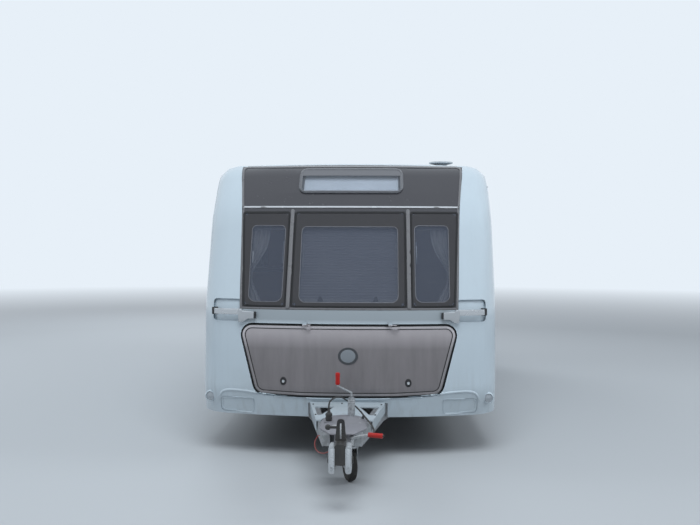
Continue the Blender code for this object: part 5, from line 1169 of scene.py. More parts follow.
def zinc(name, colour, rough, spangle=70.0):
    """Hot-dip galvanised steel: crystals that differ in shade, with dull white patches."""
    look = finish(name, colour, rough, metal=0.75)
    tree = look.node_tree
    shader = tree.nodes["Principled BSDF"]
    place = tree.nodes.new("ShaderNodeTexCoord").outputs["Object"]
    cells = tree.nodes.new("ShaderNodeTexVoronoi")
    cells.inputs["Scale"].default_value = spangle
    tree.links.new(place, cells.inputs["Vector"])
    split = tree.nodes.new("ShaderNodeSeparateColor")
    tree.links.new(cells.outputs["Color"], split.inputs[0])
    patches = spread(tree, noise(tree, place, 18.0, 4.0), 0.42, 0.72)
    dark = tuple(channel * 0.74 for channel in colour)
    light = tuple(min(1.0, channel * 1.25) for channel in colour)
    mixed = blended(tree, split.outputs["Red"], dark, light)
    tree.links.new(blended(tree, sum_of(tree, "MULTIPLY", patches, 0.35), mixed, (0.48, 0.49, 0.49)),
                   shader.inputs["Base Color"])
    return dress(look, grain=220, depth=0.0004, change=0.08, film=0.30, low=0.1, high=0.9)


def fasteners(name, spots, size, look, body, head_sides=6):
    """Bolt heads on washers, each at a (place, axis); with 40 sides they are round screw heads."""
    made = []
    for place, axis in spots:
        washer = turned([(0, 0), (0, size * 1.05), (size * 0.16, size * 1.02), (size * 0.18, 0)], place,
                        axis, 20)
        profile = [(0.0, 0), (0.0, size * 0.80), (size * 0.52, size * 0.80), (size * 0.66, size * 0.66),
                   (size * 0.66, size * 0.36), (size * 0.60, size * 0.30), (size * 0.60, 0)]
        head = turned(profile, Vector(place) + Vector(axis).normalized() * size * 0.16, axis, head_sides)
        made += [washer, head]
    return settle(joined(*made), name, body, look)


galvanised = zinc("galvanised_steel", (0.40, 0.415, 0.43), 0.44)
bright_zinc = zinc("bright_zinc", (0.56, 0.57, 0.58), 0.30, 160.0)
cast_silver = dress(finish("cast_silver", (0.50, 0.52, 0.54), 0.42, metal=0.35), grain=320, depth=0.0007,
                    film=0.35, low=0.2, high=0.7)
white_cover = dress(finish("white_cover", (0.47, 0.53, 0.57), 0.36, coat=0.1), grain=260, depth=0.0003,
                    film=0.5, low=0.2, high=0.8)
red_plastic = dress(finish("red_plastic", (0.46, 0.010, 0.008), 0.34, shine=0.3), grain=700, film=0.25)
skin_of("a_frame_cover", "a_frame_cover_moulding", white_cover, 0.0022)
cast_grey = dress(finish("cast_grey", (0.30, 0.295, 0.32), 0.46, metal=0.35), grain=420, depth=0.0008,
                  film=0.35, low=0.2, high=0.7)
skin_of("overrun_housing", "overrun_housing_casting", cast_grey, 0.0018)
coupling = skin_of("coupling_head", "coupling_head_casting", cast_silver, 0.0045)
two_looks(coupling, black_moulding, lambda face: abs(face.center.x) < 0.0338 and face.center.y < -3.36)
UP = (0, 0, 1)
CAP_HEIGHT = 0.446
fasteners("cap_bolts", [((x, y, CAP_HEIGHT), UP) for x in (-0.108, 0.108) for y in (-2.990, -3.130)], 0.0085,
          bright_zinc, "caravan")
fasteners("cover_screws", [((x, y, 0.4300), UP) for x, y in ((-0.250, -2.40), (0.250, -2.40),
                                                             (-0.205, -2.78), (0.205, -2.78),
                                                             (-0.040, -2.36), (0.040, -2.36))], 0.0070,
          black_moulding, "caravan", 24)
settle(turned([(-0.004, 0), (-0.004, 0.016), (0.006, 0.0155), (0.0085, 0.0125), (0.0085, 0.0070),
               (0.0055, 0.0062), (0.0055, 0)], (-0.052, -3.235, 0.4470), UP, 28), "cap_boss", "caravan",
       bright_zinc)
PAD_CAP = [(-0.002, 0), (-0.002, 0.0235), (0.006, 0.0230), (0.0085, 0.0200), (0.0085, 0.0115),
           (0.0050, 0.0105), (0.0050, 0)]
BELLOWS = [(0.0, 0.0255)]
for number in range(5):
    BELLOWS += [(0.003 + number * 0.006, 0.0340), (0.006 + number * 0.006, 0.0280)]
BELLOWS += [(0.034, 0.0255), (0.0, 0.0255)]
settle(turned(BELLOWS, (0, -3.3725, 0.392), (0, 1, 0), 32), "drawbar_bellows", "caravan", rubber_sheath)
for side, label in SIDES:
    settle(turned(PAD_CAP, (side * 0.068, -3.566, 0.318), (side, 0, 0), 28), f"friction_pad_cap_{label}",
           "caravan", black_moulding)
    face = rectangle(side * 0.0495 - 0.0125, 0.268, side * 0.0495 + 0.0125, 0.400, 0.012)
    settle(plate(face, "-Y", -3.6425, 0.005, 0.0018, 3), f"friction_pad_face_{label}", "caravan",
           satin_silver)
    fasteners(f"friction_pad_bolt_{label}", [((side * 0.0495, -3.6425, 0.286), (0, -1, 0))], 0.0075,
              galvanised, "caravan")
skin_of("stabiliser_handle", "stabiliser_lever", black_moulding, 0.005)
settle(plate(rectangle(-0.0045, 0.436, 0.0045, 0.530, 0.003), "-Y", -3.5400, 0.003, 0.0008),
       "stabiliser_strip", "caravan", bright_zinc)
ridges = []
for number in range(5):
    ridges.append(plate(rectangle(0.0085, 0.470 + number * 0.012, 0.0195, 0.475 + number * 0.012, 0.002),
                        "-Y", -3.5395, 0.003, 0.0008))
settle(joined(*ridges), "stabiliser_ridges", "caravan", black_moulding)
brake = skin_of("handbrake_lever", "handbrake_arm", red_plastic, 0.002)
two_looks(brake, bright_zinc, lambda face: face.center.x < 0.163)
grip_start, grip_end = Vector((0.168, -3.418, 0.436)), Vector((0.250, -3.440, 0.434))
along = (grip_end - grip_start).normalized()
GRIP = [(-0.003, 0.0095), (-0.003, 0.0150)]
for number in range(8):
    GRIP += [(0.003 + number * 0.0095, 0.0155), (0.0055 + number * 0.0095, 0.0143),
             (0.0085 + number * 0.0095, 0.0143)]
GRIP += [(0.082, 0.0158), (0.086, 0.0150), (0.0885, 0.0115), (0.0885, 0.0095), (-0.003, 0.0095)]
settle(turned(GRIP, grip_start, along, 36), "handbrake_grip", "caravan", red_plastic)
BUTTON = [(0.080, 0), (0.080, 0.0070), (0.0945, 0.0070), (0.0965, 0.0055), (0.0970, 0)]
settle(turned(BUTTON, grip_start, along, 24), "handbrake_button", "caravan", black_moulding)


# Jockey wheel
# A galvanised tube in a clamp, with a crank under a red knob. The leg slides in the tube, the fork swivels
# under it, and the wheel has a black tyre on a grey rim.

JOCKEY_X, JOCKEY_Y = 0.045, -2.900


def bar_of(points, thick, sides=4):
    """A round bar through the points, as a mesh."""
    take(line_of("bar", points, thick, sides))
    bpy.ops.object.convert(target="MESH")
    return bpy.context.object


tube = skin_of("jockey_tube", "jockey_tube_body", galvanised, 0.0012)
two_looks(tube, red_plastic, lambda face: face.center.z > 0.657)
COLLARS = ((0.350, 0.0335, 0.006), (0.417, 0.0290, 0.012), (0.540, 0.0262, 0.005), (0.552, 0.0262, 0.008))
rings = [turned([(0, 0.0235), (0, radius), (high, radius), (high, 0.0235), (0, 0.0235)],
                (JOCKEY_X, JOCKEY_Y, low), UP, 36) for low, radius, high in COLLARS]
settle(joined(*rings), "jockey_collars", "caravan", bright_zinc)
KNOB = [(0.0, 0), (0.0, 0.0125), (0.004, 0.0150), (0.012, 0.0158), (0.030, 0.0146), (0.050, 0.0150),
        (0.066, 0.0162), (0.076, 0.0150), (0.081, 0.0105), (0.083, 0.0)]
settle(turned(KNOB, (JOCKEY_X - 0.093, JOCKEY_Y, 0.658), UP, 32), "jockey_knob", "caravan", red_plastic)
fasteners("clamp_bolts", [((0.112, -2.934, 0.388), (0, -1, 0)), ((0.084, -2.934, 0.388), (0, -1, 0))], 0.0095,
          bright_zinc, "caravan")
toggle = smooth_route([(0.098, -2.938, 0.388), (0.098, -2.958, 0.388), (0.104, -2.966, 0.394),
                       (0.116, -2.968, 0.420), (0.122, -2.969, 0.444)], 0.006)
settle(bar_of(toggle, 0.009), "clamp_toggle", "caravan", bright_zinc)
TOGGLE_GRIP = [(0, 0), (0, 0.0070), (0.006, 0.0088), (0.024, 0.0080), (0.030, 0.0062), (0.032, 0)]
settle(turned(TOGGLE_GRIP, (0.1205, -2.9688, 0.436), (0.22, -0.03, 1), 24), "clamp_toggle_grip", "caravan",
       black_moulding)
skin_of("jockey_leg", "jockey_leg_tube", bright_zinc, 0.0)
skin_of("jockey_fork", "jockey_fork_steel", galvanised, 0.0012)
turn = math.radians(18)
across = Vector((math.cos(turn), math.sin(turn), 0))
hub = Vector((JOCKEY_X, JOCKEY_Y, 0)) + Matrix.Rotation(turn, 3, "Z") @ Vector((0, 0.035, 0.110))
fasteners("jockey_axle_nuts", [(hub + across * 0.0385, across), (hub - across * 0.0385, -across)], 0.0105,
          bright_zinc, "jockey_fork")
rim_grey = dress(finish("rim_grey", (0.26, 0.27, 0.28), 0.45), grain=300, film=0.4, low=0.0, high=0.3)
tyre_rubber = dress(finish("tyre_rubber", (0.022, 0.022, 0.023), 0.72, shine=0.3), grain=800, depth=0.0003,
                    film=0.42, low=0.0, high=0.7)
small_tyre = [(-0.022, 0.060), (-0.026, 0.066), (-0.0285, 0.078), (-0.0280, 0.092), (-0.024, 0.1035),
              (-0.016, 0.1085), (-0.0075, 0.1095), (-0.0065, 0.1075), (0.0065, 0.1075), (0.0075, 0.1095),
              (0.016, 0.1085), (0.024, 0.1035), (0.0280, 0.092), (0.0285, 0.078), (0.026, 0.066),
              (0.022, 0.060), (-0.022, 0.060)]
small_rim = [(-0.030, 0.0088), (-0.030, 0.022), (-0.024, 0.026), (-0.010, 0.030), (-0.010, 0.052),
             (-0.022, 0.054), (-0.0245, 0.057), (-0.0245, 0.0625), (-0.020, 0.0625), (0.020, 0.0625),
             (0.0245, 0.0625), (0.0245, 0.057), (0.022, 0.054), (0.010, 0.052), (0.010, 0.030),
             (0.024, 0.026), (0.030, 0.022), (0.030, 0.0088), (-0.030, 0.0088)]
settle(turned(small_tyre, hub, across, 48), "jockey_tyre", "jockey_wheel", tyre_rubber,
       ("jockey_wheel",))
settle(turned(small_rim, hub, across, 48), "jockey_rim", "jockey_wheel", rim_grey)


# Wheels
# Radial tyres with three grooves round the tread and cross grooves in the shoulders, on five-spoke alloy
# rims. Each wheel has five bolts, a blank centre cap and a valve.

WHEEL_X, AXLE_Y, WHEEL_R = 0.970, 1.240, 0.315
TYRE_SIDES = 150
GROOVE_DEEP = 0.0065
half_tyre = [(0.0155, 0.3150), (0.0165, 0.3085), (0.0225, 0.3085), (0.0235, 0.3150), (0.0505, 0.3147),
             (0.0515, 0.3085), (0.0575, 0.3085), (0.0585, 0.3140), (0.0700, 0.3122), (0.0770, 0.3085),
             (0.0850, 0.2990), (0.0915, 0.2840), (0.0945, 0.2620), (0.0948, 0.2480), (0.0938, 0.2465),
             (0.0938, 0.2425), (0.0948, 0.2410), (0.0945, 0.2280), (0.0945, 0.2140), (0.0920, 0.2080),
             (0.0870, 0.2030), (0.0780, 0.1975), (0.0740, 0.1900), (0.0740, 0.1870)]
TYRE = [(-along, radius) for along, radius in reversed(half_tyre)] + half_tyre + [(-0.0740, 0.1870)]
SHOULDERS = (0.0500, 0.0775)
CAP = [(-0.001, 0), (-0.001, 0.0300), (0.006, 0.0295), (0.0095, 0.0265), (0.0105, 0.0225), (0.0095, 0.0215),
       (0.0100, 0)]
VALVE = [(-0.004, 0), (-0.004, 0.0055), (0.010, 0.0045), (0.014, 0.0036), (0.030, 0.0036), (0.032, 0.0026),
         (0.032, 0)]
BOLT_CIRCLE, VALVE_CIRCLE = 0.047, 0.152
alloy = dress(finish("alloy_silver", (0.60, 0.61, 0.63), 0.27, metal=0.75, coat=0.3), grain=260,
              depth=0.0001, film=0.35, low=0.0, high=0.9)
for side, label in SIDES:
    centre = Vector((side * WHEEL_X, AXLE_Y, WHEEL_R))
    tyre = turned(TYRE, centre, (side, 0, 0), TYRE_SIDES)
    for vert in tyre.data.vertices:
        radius = math.hypot(vert.co.x, vert.co.y)
        index = round(math.atan2(vert.co.y, vert.co.x) / math.tau * TYRE_SIDES) % TYRE_SIDES
        deep = 0.0
        if radius > 0.3083 and SHOULDERS[0] < abs(vert.co.z) < SHOULDERS[1] and index % 5 == 0:
            deep = GROOVE_DEEP
        if radius > 0.3140 and abs(vert.co.z) < SHOULDERS[0] and index % 5 == 2:
            deep = GROOVE_DEEP * 0.5
        vert.co.x *= 1 - deep / radius
        vert.co.y *= 1 - deep / radius
    settle(tyre, f"wheel_tyre_{label}", f"wheel_{label}", tyre_rubber, (f"tyre_{label}",))
    skin_of(f"rim_{label}", f"wheel_rim_{label}", alloy, 0.0025)
    face = centre + Vector((side * 0.012, 0, 0))
    spots = []
    for number in range(5):
        angle = math.tau * number / 5
        spots.append((face + Vector((0, BOLT_CIRCLE * math.cos(angle), BOLT_CIRCLE * math.sin(angle))),
                      (side, 0, 0)))
    fasteners(f"wheel_bolts_{label}", spots, 0.0105, bright_zinc, f"wheel_{label}")
    settle(turned(CAP, face, (side, 0, 0), 36), f"wheel_cap_{label}", f"wheel_{label}", alloy)
    angle = math.radians(126)
    spot = centre + Vector((side * 0.040, VALVE_CIRCLE * math.cos(angle), VALVE_CIRCLE * math.sin(angle)))
    settle(turned(VALVE, spot, (side, -0.4 * math.cos(angle), -0.4 * math.sin(angle)), 16),
           f"wheel_valve_{label}", f"wheel_{label}", rubber_sheath)


# Chassis, axle and steadies
# Galvanised rails and cross members with bolts, the axle, and corner steadies on black foot pads. Each steady
# turns on a bolt at its upper end.

skin_of("chassis", "chassis_rails", galvanised, 0.002)
skin_of("axle", "axle_tube", zinc("axle_zinc", (0.22, 0.225, 0.23), 0.52), 0.002)
rail_bolts = []
for side in (-1, 1):
    for y in (-1.95, -0.70, 0.72, 1.05, 1.43, 1.98, 3.12):
        rail_bolts.append(((side * 0.6245, y, 0.355), (side, 0, 0)))
fasteners("rail_bolts", rail_bolts, 0.0095, bright_zinc, "caravan")
for name in ("front_left", "front_right", "rear_left", "rear_right"):
    skin_of(f"steady_{name}", f"steady_arm_{name}", galvanised, 0.002)
    low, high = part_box(f"steady_{name}")
    middle = (low + high) / 2
    away = -1 if "front" in name else 1
    side = -1 if "left" in name else 1
    foot = middle.y + away * 0.17
    settle(plate(rectangle(middle.x - 0.044, foot - 0.052, middle.x + 0.044, foot + 0.052, 0.012), "-Z",
                 low.z + 0.002, 0.008, 0.002), f"steady_foot_pad_{name}", f"steady_{name}", black_moulding)
    pivot = middle.y - away * 0.222
    fasteners(f"steady_bolts_{name}", [((middle.x - side * 0.026, pivot, 0.380), (-side, 0, 0))], 0.010,
              bright_zinc, f"steady_{name}")


# Side windows
# Smoked double panes in rubber gaskets, three on the left and two on the right. Each has a dark printed
# border, two catches, and a pleated blind in light rails.

side_guide = surface_of("side_wall_left", "side_window_left_front", "side_window_left_kitchen",
                        "side_window_left_rear", "service_hatch", "side_wall_right",
                        "side_window_right_front", "side_window_right_rear", "entrance_door",
                        "door_window")


def on_side(name, side, points, look, proud, thick, width=0.0, bevel=0.0008, body="caravan"):
    """A plate, or a ring of that width, flat ahead of a side wall; its points are (y, z)."""
    thing = flat_face(points, "+X" if side > 0 else "-X", side * (HALF_BODY + proud))
    if width:
        ring_of(thing, width)
    thickened(thing, thick, bevel)
    return settle(thing, name, body, look)


def side_pleats(name, side, low_y, high_y, low, high, look):
    """A pleated blind drawn part of the way down behind a side window."""
    folds = round((high - low) / 0.020) * 2
    at = side * (HALF_BODY - 0.034)

    def spot(across, up):
        fold = side * (0.004 if round(up * folds) % 2 else 0.0)
        return Vector((at - fold, low_y + (high_y - low_y) * across, low + (high - low) * up))

    thing = sheet_grid(6, folds, spot)
    bpy.ops.object.shade_flat()
    return settle(thing, name, "caravan", look)


def framed_window(name, side, proud, radius, body, border_wide=0.034):
    """A pane with its printed border, rim line and gasket."""
    low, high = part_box(name)
    label = name.replace("side_window_", "").replace("_window", "")
    skin_of(name, f"pane_{label}", smoked_acrylic, 0.0015)
    outline = rectangle(low.y + 0.001, low.z + 0.001, high.y - 0.001, high.z - 0.001, radius)
    clear = rectangle(low.y + border_wide, low.z + border_wide, high.y - border_wide, high.z - border_wide,
                      0.035)
    on_side(f"border_{label}", side, outline, printed_border, proud + 0.0008, 0.0008, border_wide, 0,
            body)
    on_side(f"rim_{label}", side, grown(clear, 0.002), rim_line, proud + 0.0016, 0.0012, 0.004, 0,
            body)
    on_side(f"seal_{label}", side, grown(outline, 0.009), gasket_rubber, 0.0050, 0.007, 0.010, 0.002,
            body)
    return low, high


SIDE_PANES = (("side_window_left_front", -1), ("side_window_left_kitchen", -1), ("side_window_left_rear", -1),
              ("side_window_right_front", 1), ("side_window_right_rear", 1))
for name, side in SIDE_PANES:
    low, high = framed_window(name, side, 0.012, 0.060, "caravan")
    label = name.replace("side_window_", "")
    drop = high.z - (high.z - low.z) * 0.42
    blind = side_pleats(f"blind_{label}", side, low.y + 0.02, high.y - 0.02, drop, high.z - 0.03, blind_white)
    ends = sorted((side * (HALF_BODY - 0.030), side * (HALF_BODY - 0.046)))
    rails = []
    for up in (drop - 0.012, high.z - 0.022):
        rails.append(plate(rectangle(low.y + 0.018, up - 0.009, high.y - 0.018, up + 0.009, 0.003), "+X",
                           ends[1], 0.016, 0.002))
    settle(joined(*rails), f"blind_rails_{label}", "caravan", pale_plastic)
    catches = []
    for share in (0.2, 0.8):
        y = low.y + (high.y - low.y) * share
        catches.append(plate(rectangle(y - 0.03, low.z + 0.020, y + 0.03, low.z + 0.040, 0.005), "+X",
                             side * (HALF_BODY - 0.012), 0.012, 0.003))
    settle(joined(*catches), f"catches_{label}", "caravan", black_moulding)


# Door and hatch
# The entrance door is a foam-filled leaf in a rubber seal, with a window, a flush handle and a kick plate.
# The service hatch on the left is a smaller leaf of the same sheet, with two round locks.

grey_trim = dress(finish("grey_trim", (0.20, 0.205, 0.215), 0.40), grain=500, film=0.3, low=0.3, high=1.2)
DOOR_LOW_Y, DOOR_LOW, DOOR_HIGH_Y, DOOR_HIGH = 0.050, 0.425, 0.690, 2.215
skin_of("entrance_door", "entrance_door_leaf", white_sheet, 0.0025)
framed_window("door_window", 1, 0.004, 0.050, "door", 0.026)
on_side("door_seal", 1, rectangle(DOOR_LOW_Y - 0.016, DOOR_LOW - 0.004, DOOR_HIGH_Y + 0.016,
                                  DOOR_HIGH + 0.016, 0.100), gasket_rubber, 0.0040, 0.006, 0.0085, 0.0015)
on_side("door_kick_plate", 1, rectangle(DOOR_LOW_Y + 0.050, 0.470, DOOR_HIGH_Y - 0.050, 0.560, 0.025),
        grey_trim, 0.0028, 0.0034, 0, 0.001, "door")
on_side("door_panel_line", 1, rectangle(DOOR_LOW_Y + 0.050, 0.640, DOOR_HIGH_Y - 0.050, 1.330, 0.045),
        white_sheet, 0.0030, 0.0034, 0.014, 0.0014, "door")
on_side("door_handle_plate", 1, rectangle(0.572, 1.215, 0.660, 1.375, 0.022), black_moulding, 0.0050, 0.006,
        0, 0.002, "door")
on_side("door_handle_lever", 1, rounded([(0.582, 1.308, 0.008), (0.650, 1.300, 0.010), (0.650, 1.330, 0.010),
        (0.582, 1.340, 0.008)]), satin_silver, 0.0190, 0.011, 0, 0.004, "door")
settle(turned([(0, 0), (0, 0.0125), (0.013, 0.0115), (0.015, 0.0090), (0.015, 0)], (1.149, 0.638, 1.315),
       (1, 0, 0), 24), "door_handle_pivot", "door", satin_silver)
settle(turned([(0, 0), (0, 0.0125), (0.0045, 0.0125), (0.0060, 0.0110), (0.0060, 0.0030), (0.0040, 0.0025),
       (0.0040, 0)], (1.149, 0.640, 1.252), (1, 0, 0), 28), "door_lock", "door", bright_chrome)
skin_of("service_hatch", "service_hatch_leaf", white_sheet, 0.0025)
on_side("hatch_seal", -1, rectangle(1.910 - 0.014, 0.500 - 0.014, 2.250 + 0.014, 0.840 + 0.014, 0.050),
        gasket_rubber, 0.0030, 0.005, 0.0075, 0.0012)
for number, z in enumerate((0.560, 0.780), 1):
    settle(turned([(0, 0), (0, 0.0170), (0.0040, 0.0165), (0.0055, 0.0145), (0.0040, 0.0110),
                   (0.0060, 0.0100), (0.0060, 0)], (-1.1445, 2.215, z), (-1, 0, 0), 28),
           f"hatch_lock_{number}", "hatch", black_moulding)


# Side fittings
# Fridge vents, a water filler, an electric inlet, a flue cover, a door lamp, side markers and a grab rail. A
# grey line runs above the skirt, and awning rails under the roof. The wheel arches are painted white.

amber_lens = dress(finish("amber_lens", (0.62, 0.20, 0.02), 0.14, coat=0.4), grain=140, depth=0.0002,
                   film=0.25)
red_lens = dress(finish("red_lens", (0.36, 0.012, 0.012), 0.12, coat=0.4), grain=140, depth=0.0002, film=0.15)
clear_lens = dress(finish("clear_lens", (0.62, 0.64, 0.66), 0.12, coat=0.5), grain=110, depth=0.0003,
                   film=0.12)
for number, (low_z, high_z) in enumerate(((0.860, 1.060), (1.480, 1.680)), 1):
    back = rectangle(1.000, low_z, 1.480, high_z, 0.018)
    on_side(f"vent_well_{number}", -1, back, black_moulding, 0.0010, 0.002, 0, 0)
    on_side(f"vent_frame_{number}", -1, grown(back, 0.012), white_sheet, 0.0105, 0.012, 0.022, 0.003)
    slats = []
    count = 7
    for step in range(count):
        up = low_z + 0.022 + (high_z - low_z - 0.044) * step / (count - 1)
        slats.append(plate(rectangle(1.008, up - 0.0075, 1.472, up + 0.0075, 0.003), "-X",
                           -(HALF_BODY + 0.0085), 0.005, 0.0015))
    for y in (1.160, 1.320):
        slats.append(plate(rectangle(y - 0.004, low_z + 0.006, y + 0.004, high_z - 0.006, 0.002), "-X",
                           -(HALF_BODY + 0.0065), 0.005, 0.001))
    settle(joined(*slats), f"vent_slats_{number}", "caravan", white_sheet)
FLAPS = (("water_filler", 1, -0.620, 0.640, 0.075, 0.075), ("electric_inlet", -1, 0.300, 0.640, 0.085, 0.095),
         ("flue_cover", -1, -0.900, 0.800, 0.060, 0.060))
for name, side, y, z, wide, high in FLAPS:
    on_side(f"{name}_base", side, rectangle(y - wide, z - high, y + wide, z + high, 0.022), white_sheet,
            0.0070, 0.008, 0, 0.003)
    on_side(f"{name}_flap", side, rectangle(y - wide + 0.014, z - high + 0.014, y + wide - 0.014,
                                            z + high - 0.014, 0.014), grey_trim, 0.0120, 0.006, 0, 0.002)
    settle(turned([(0, 0), (0, 0.0105), (0.0045, 0.0100), (0.0050, 0.0040), (0.0030, 0.0035), (0.0030, 0)],
                  (side * (HALF_BODY + 0.0115), y, z - high + 0.034), (side, 0, 0), 24), f"{name}_lock",
           "caravan", bright_chrome)
for side, label in SIDES:
    runs = ((-1.790, 0.785), (1.700, 3.370))
    if side > 0:
        runs = ((-1.790, 0.030), (0.712, 0.785), (1.700, 3.370))
    strips = []
    for start, end in runs:
        strips.append(plate(rectangle(start, 0.440, end, 0.466, 0.005), "+X" if side > 0 else "-X",
                            side * (HALF_BODY + 0.0045), 0.005, 0.0018))
    settle(joined(*strips), f"skirt_line_{label}", "caravan", grey_trim)
    for number, y in enumerate((-1.560, -0.300, 1.790, 3.240), 1):
        base = rectangle(y - 0.052, 0.520, y + 0.052, 0.560, 0.010)
        on_side(f"side_marker_base_{label}_{number}", side, base, black_moulding, 0.0050, 0.006, 0, 0.002)
        on_side(f"side_marker_{label}_{number}", side, grown(base, -0.005), amber_lens, 0.0110, 0.008, 0,
                0.003)
    crest = []
    for step in range(60):
        y = -1.30 + 4.55 * step / 59
        place, _ = spot_on(side_guide, (side * (HALF_BODY - 0.012), y, 3.0), (0, 0, -1))
        crest.append(Vector((side * (HALF_BODY + 0.005), y, place.z - 0.014)))
    for _ in range(6):
        middles = [(a + b * 2 + c) / 4 for a, b, c in zip(crest, crest[1:], crest[2:])]
        crest = [crest[0], *middles, crest[-1]]
    settle(bar_of(smooth_route(crest, 0.06), 0.014, sides=2), f"awning_rail_{label}", "caravan",
           satin_silver)
on_side("door_lamp_base", 1, rectangle(0.760, 1.900, 0.860, 2.130, 0.030), grey_trim, 0.0100, 0.011, 0,
        0.003)
on_side("door_lamp_lens", 1, rectangle(0.774, 1.916, 0.846, 2.114, 0.022), clear_lens, 0.0190, 0.010, 0,
        0.004)
settle(bar_of(smooth_route([(1.146, 0.790, 1.160), (1.170, 0.790, 1.163), (1.180, 0.790, 1.190),
                            (1.181, 0.790, 1.330), (1.180, 0.790, 1.470), (1.170, 0.790, 1.497),
                            (1.146, 0.790, 1.500)], 0.012), 0.022), "door_grab_rail", "caravan", grey_trim)
on_side("grab_rail_feet", 1, rectangle(0.768, 1.130, 0.812, 1.530, 0.020), white_sheet, 0.0045, 0.005, 0,
        0.0015)
for label in ("left", "right"):
    skin_of(f"wheel_arch_{label}", f"wheel_arch_moulding_{label}", white_sheet, 0.003)


# Rear
# The rear moulding carries the window with its blind, tall lamps with coloured lenses, a high brake lamp, a
# blank number plate, reflectors and the bumper.

rear_guide = surface_of("rear_panel", "rear_window")
REAR_LOOK = (0, -1, 0)


def on_rear(name, points, look, proud, thick, width=0.0, bevel=0.0008, cell=0.05):
    """A plate, or a ring of that width, that lies on the rear moulding."""
    thing = flat_face(points, "+Y", 4.5)
    if width:
        ring_of(thing, width)
    sliced(thing, cell)
    wrapped(thing, rear_guide, proud, REAR_LOOK)
    thickened(thing, thick, bevel)
    return settle(thing, name, "caravan", look)


skin_of("rear_window", "rear_window_pane", smoked_acrylic, 0.0015)
REAR_PANE = rectangle(-0.499, 1.361, 0.499, 1.799, 0.060)
REAR_CLEAR = rectangle(-0.462, 1.398, 0.462, 1.762, 0.038)
on_rear("rear_border", REAR_PANE, printed_border, 0.0008, 0.0008, 0.037, 0)
on_rear("rear_rim_line", grown(REAR_CLEAR, 0.002), rim_line, 0.0016, 0.0012, 0.004, 0)
on_rear("rear_gasket", grown(REAR_PANE, 0.010), gasket_rubber, 0.0045, 0.007, 0.011, 0.002)
rear_blind = sheet_grid(8, 20, lambda across, up: Vector((
    -0.46 + 0.92 * across, 3.500 - (0.004 if round(up * 20) % 2 else 0.0), 1.56 + 0.20 * up)))
bpy.ops.object.shade_flat()
settle(rear_blind, "rear_pleats", "caravan", blind_white)
settle(plate(rectangle(-0.465, 1.540, 0.465, 1.560, 0.003), "+Y", 3.504, 0.016, 0.002), "rear_blind_rail",
       "caravan", pale_plastic)
for side, label in SIDES:
    skin_of(f"rear_lamp_{label}", f"rear_lamp_body_{label}", dark_edge, 0.004)
    low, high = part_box(f"rear_lamp_{label}")
    for part, look, bottom, top in (("turn", amber_lens, 0.945, 1.045), ("stop", red_lens, 0.755, 0.935),
                                    ("reverse", clear_lens, 0.635, 0.745)):
        settle(plate(rectangle(low.x + 0.014, bottom, high.x - 0.014, top, 0.020), "+Y", high.y + 0.0035,
                     0.008, 0.003, 3), f"rear_{part}_lens_{label}", "caravan", look)
        middle = Vector(((low.x + high.x) / 2, high.y + 0.0035, (bottom + top) / 2))
        rings = [(0.0, 0.0)]
        for number in range(5):
            rings += [(0.0018, 0.004 + number * 0.0075), (0.0004, 0.0075 + number * 0.0075)]
        rings += [(-0.001, 0.0390), (-0.001, 0.0)]
        settle(turned(rings, middle, (0, 1, 0), 32), f"rear_{part}_rings_{label}", "caravan", look)
    triangle = rounded([(side * 0.760 - 0.080, 0.545, 0.012), (side * 0.760 + 0.080, 0.545, 0.012),
                        (side * 0.760, 0.684, 0.012)])
    on_rear(f"rear_reflector_{label}", triangle, red_lens, 0.0080, 0.008, 0, 0.002)
    on_rear(f"rear_reflector_edge_{label}", grown(triangle, 0.005), black_moulding, 0.0060, 0.006, 0.012,
            0.001)
    on_rear(f"rear_handle_foot_{label}", rectangle(side * 0.950 - 0.022, 1.130, side * 0.950 + 0.022, 1.420,
                                                   0.020), grey_trim, 0.0050, 0.006, 0, 0.002)
    place, _ = spot_on(rear_guide, (side * 0.950, 4.0, 1.275), REAR_LOOK)
    route = [(0, -0.004, -0.110), (0, 0.022, -0.106), (0, 0.034, -0.085), (0, 0.036, 0.0), (0, 0.034, 0.085),
             (0, 0.022, 0.106), (0, -0.004, 0.110)]
    settle(bar_of(smooth_route([place + Vector(point) for point in route], 0.012), 0.020),
           f"rear_handle_{label}", "caravan", grey_trim)
skin_of("rear_bumper", "rear_bumper_moulding", white_gel, 0.004)
plate_holder = rectangle(-0.275, 0.600, 0.275, 0.735, 0.010)
on_rear("number_plate_holder", plate_holder, black_moulding, 0.0060, 0.007, 0, 0.002)
blank_plate = dress(finish("blank_plate", (0.66, 0.67, 0.66), 0.30), grain=200, film=0.25)
on_rear("number_plate_blank", grown(plate_holder, -0.008), blank_plate, 0.0075, 0.003, 0, 0.0006)
on_rear("plate_lamp", rectangle(-0.070, 0.750, 0.070, 0.780, 0.008), black_moulding, 0.0220, 0.024, 0, 0.003)
on_rear("high_brake_lamp", rectangle(-0.170, 1.980, 0.170, 2.008, 0.010), red_lens, 0.0100, 0.012, 0, 0.003)
on_rear("rear_pressed_line", rectangle(-0.930, 1.250, 0.930, 1.900, 0.120), white_gel, 0.0045, 0.005, 0.016,
        0.002)


# Roof
# Two milky roof lights with screws round their domes, and a low round television aerial. They are sealed to
# the roof skin.

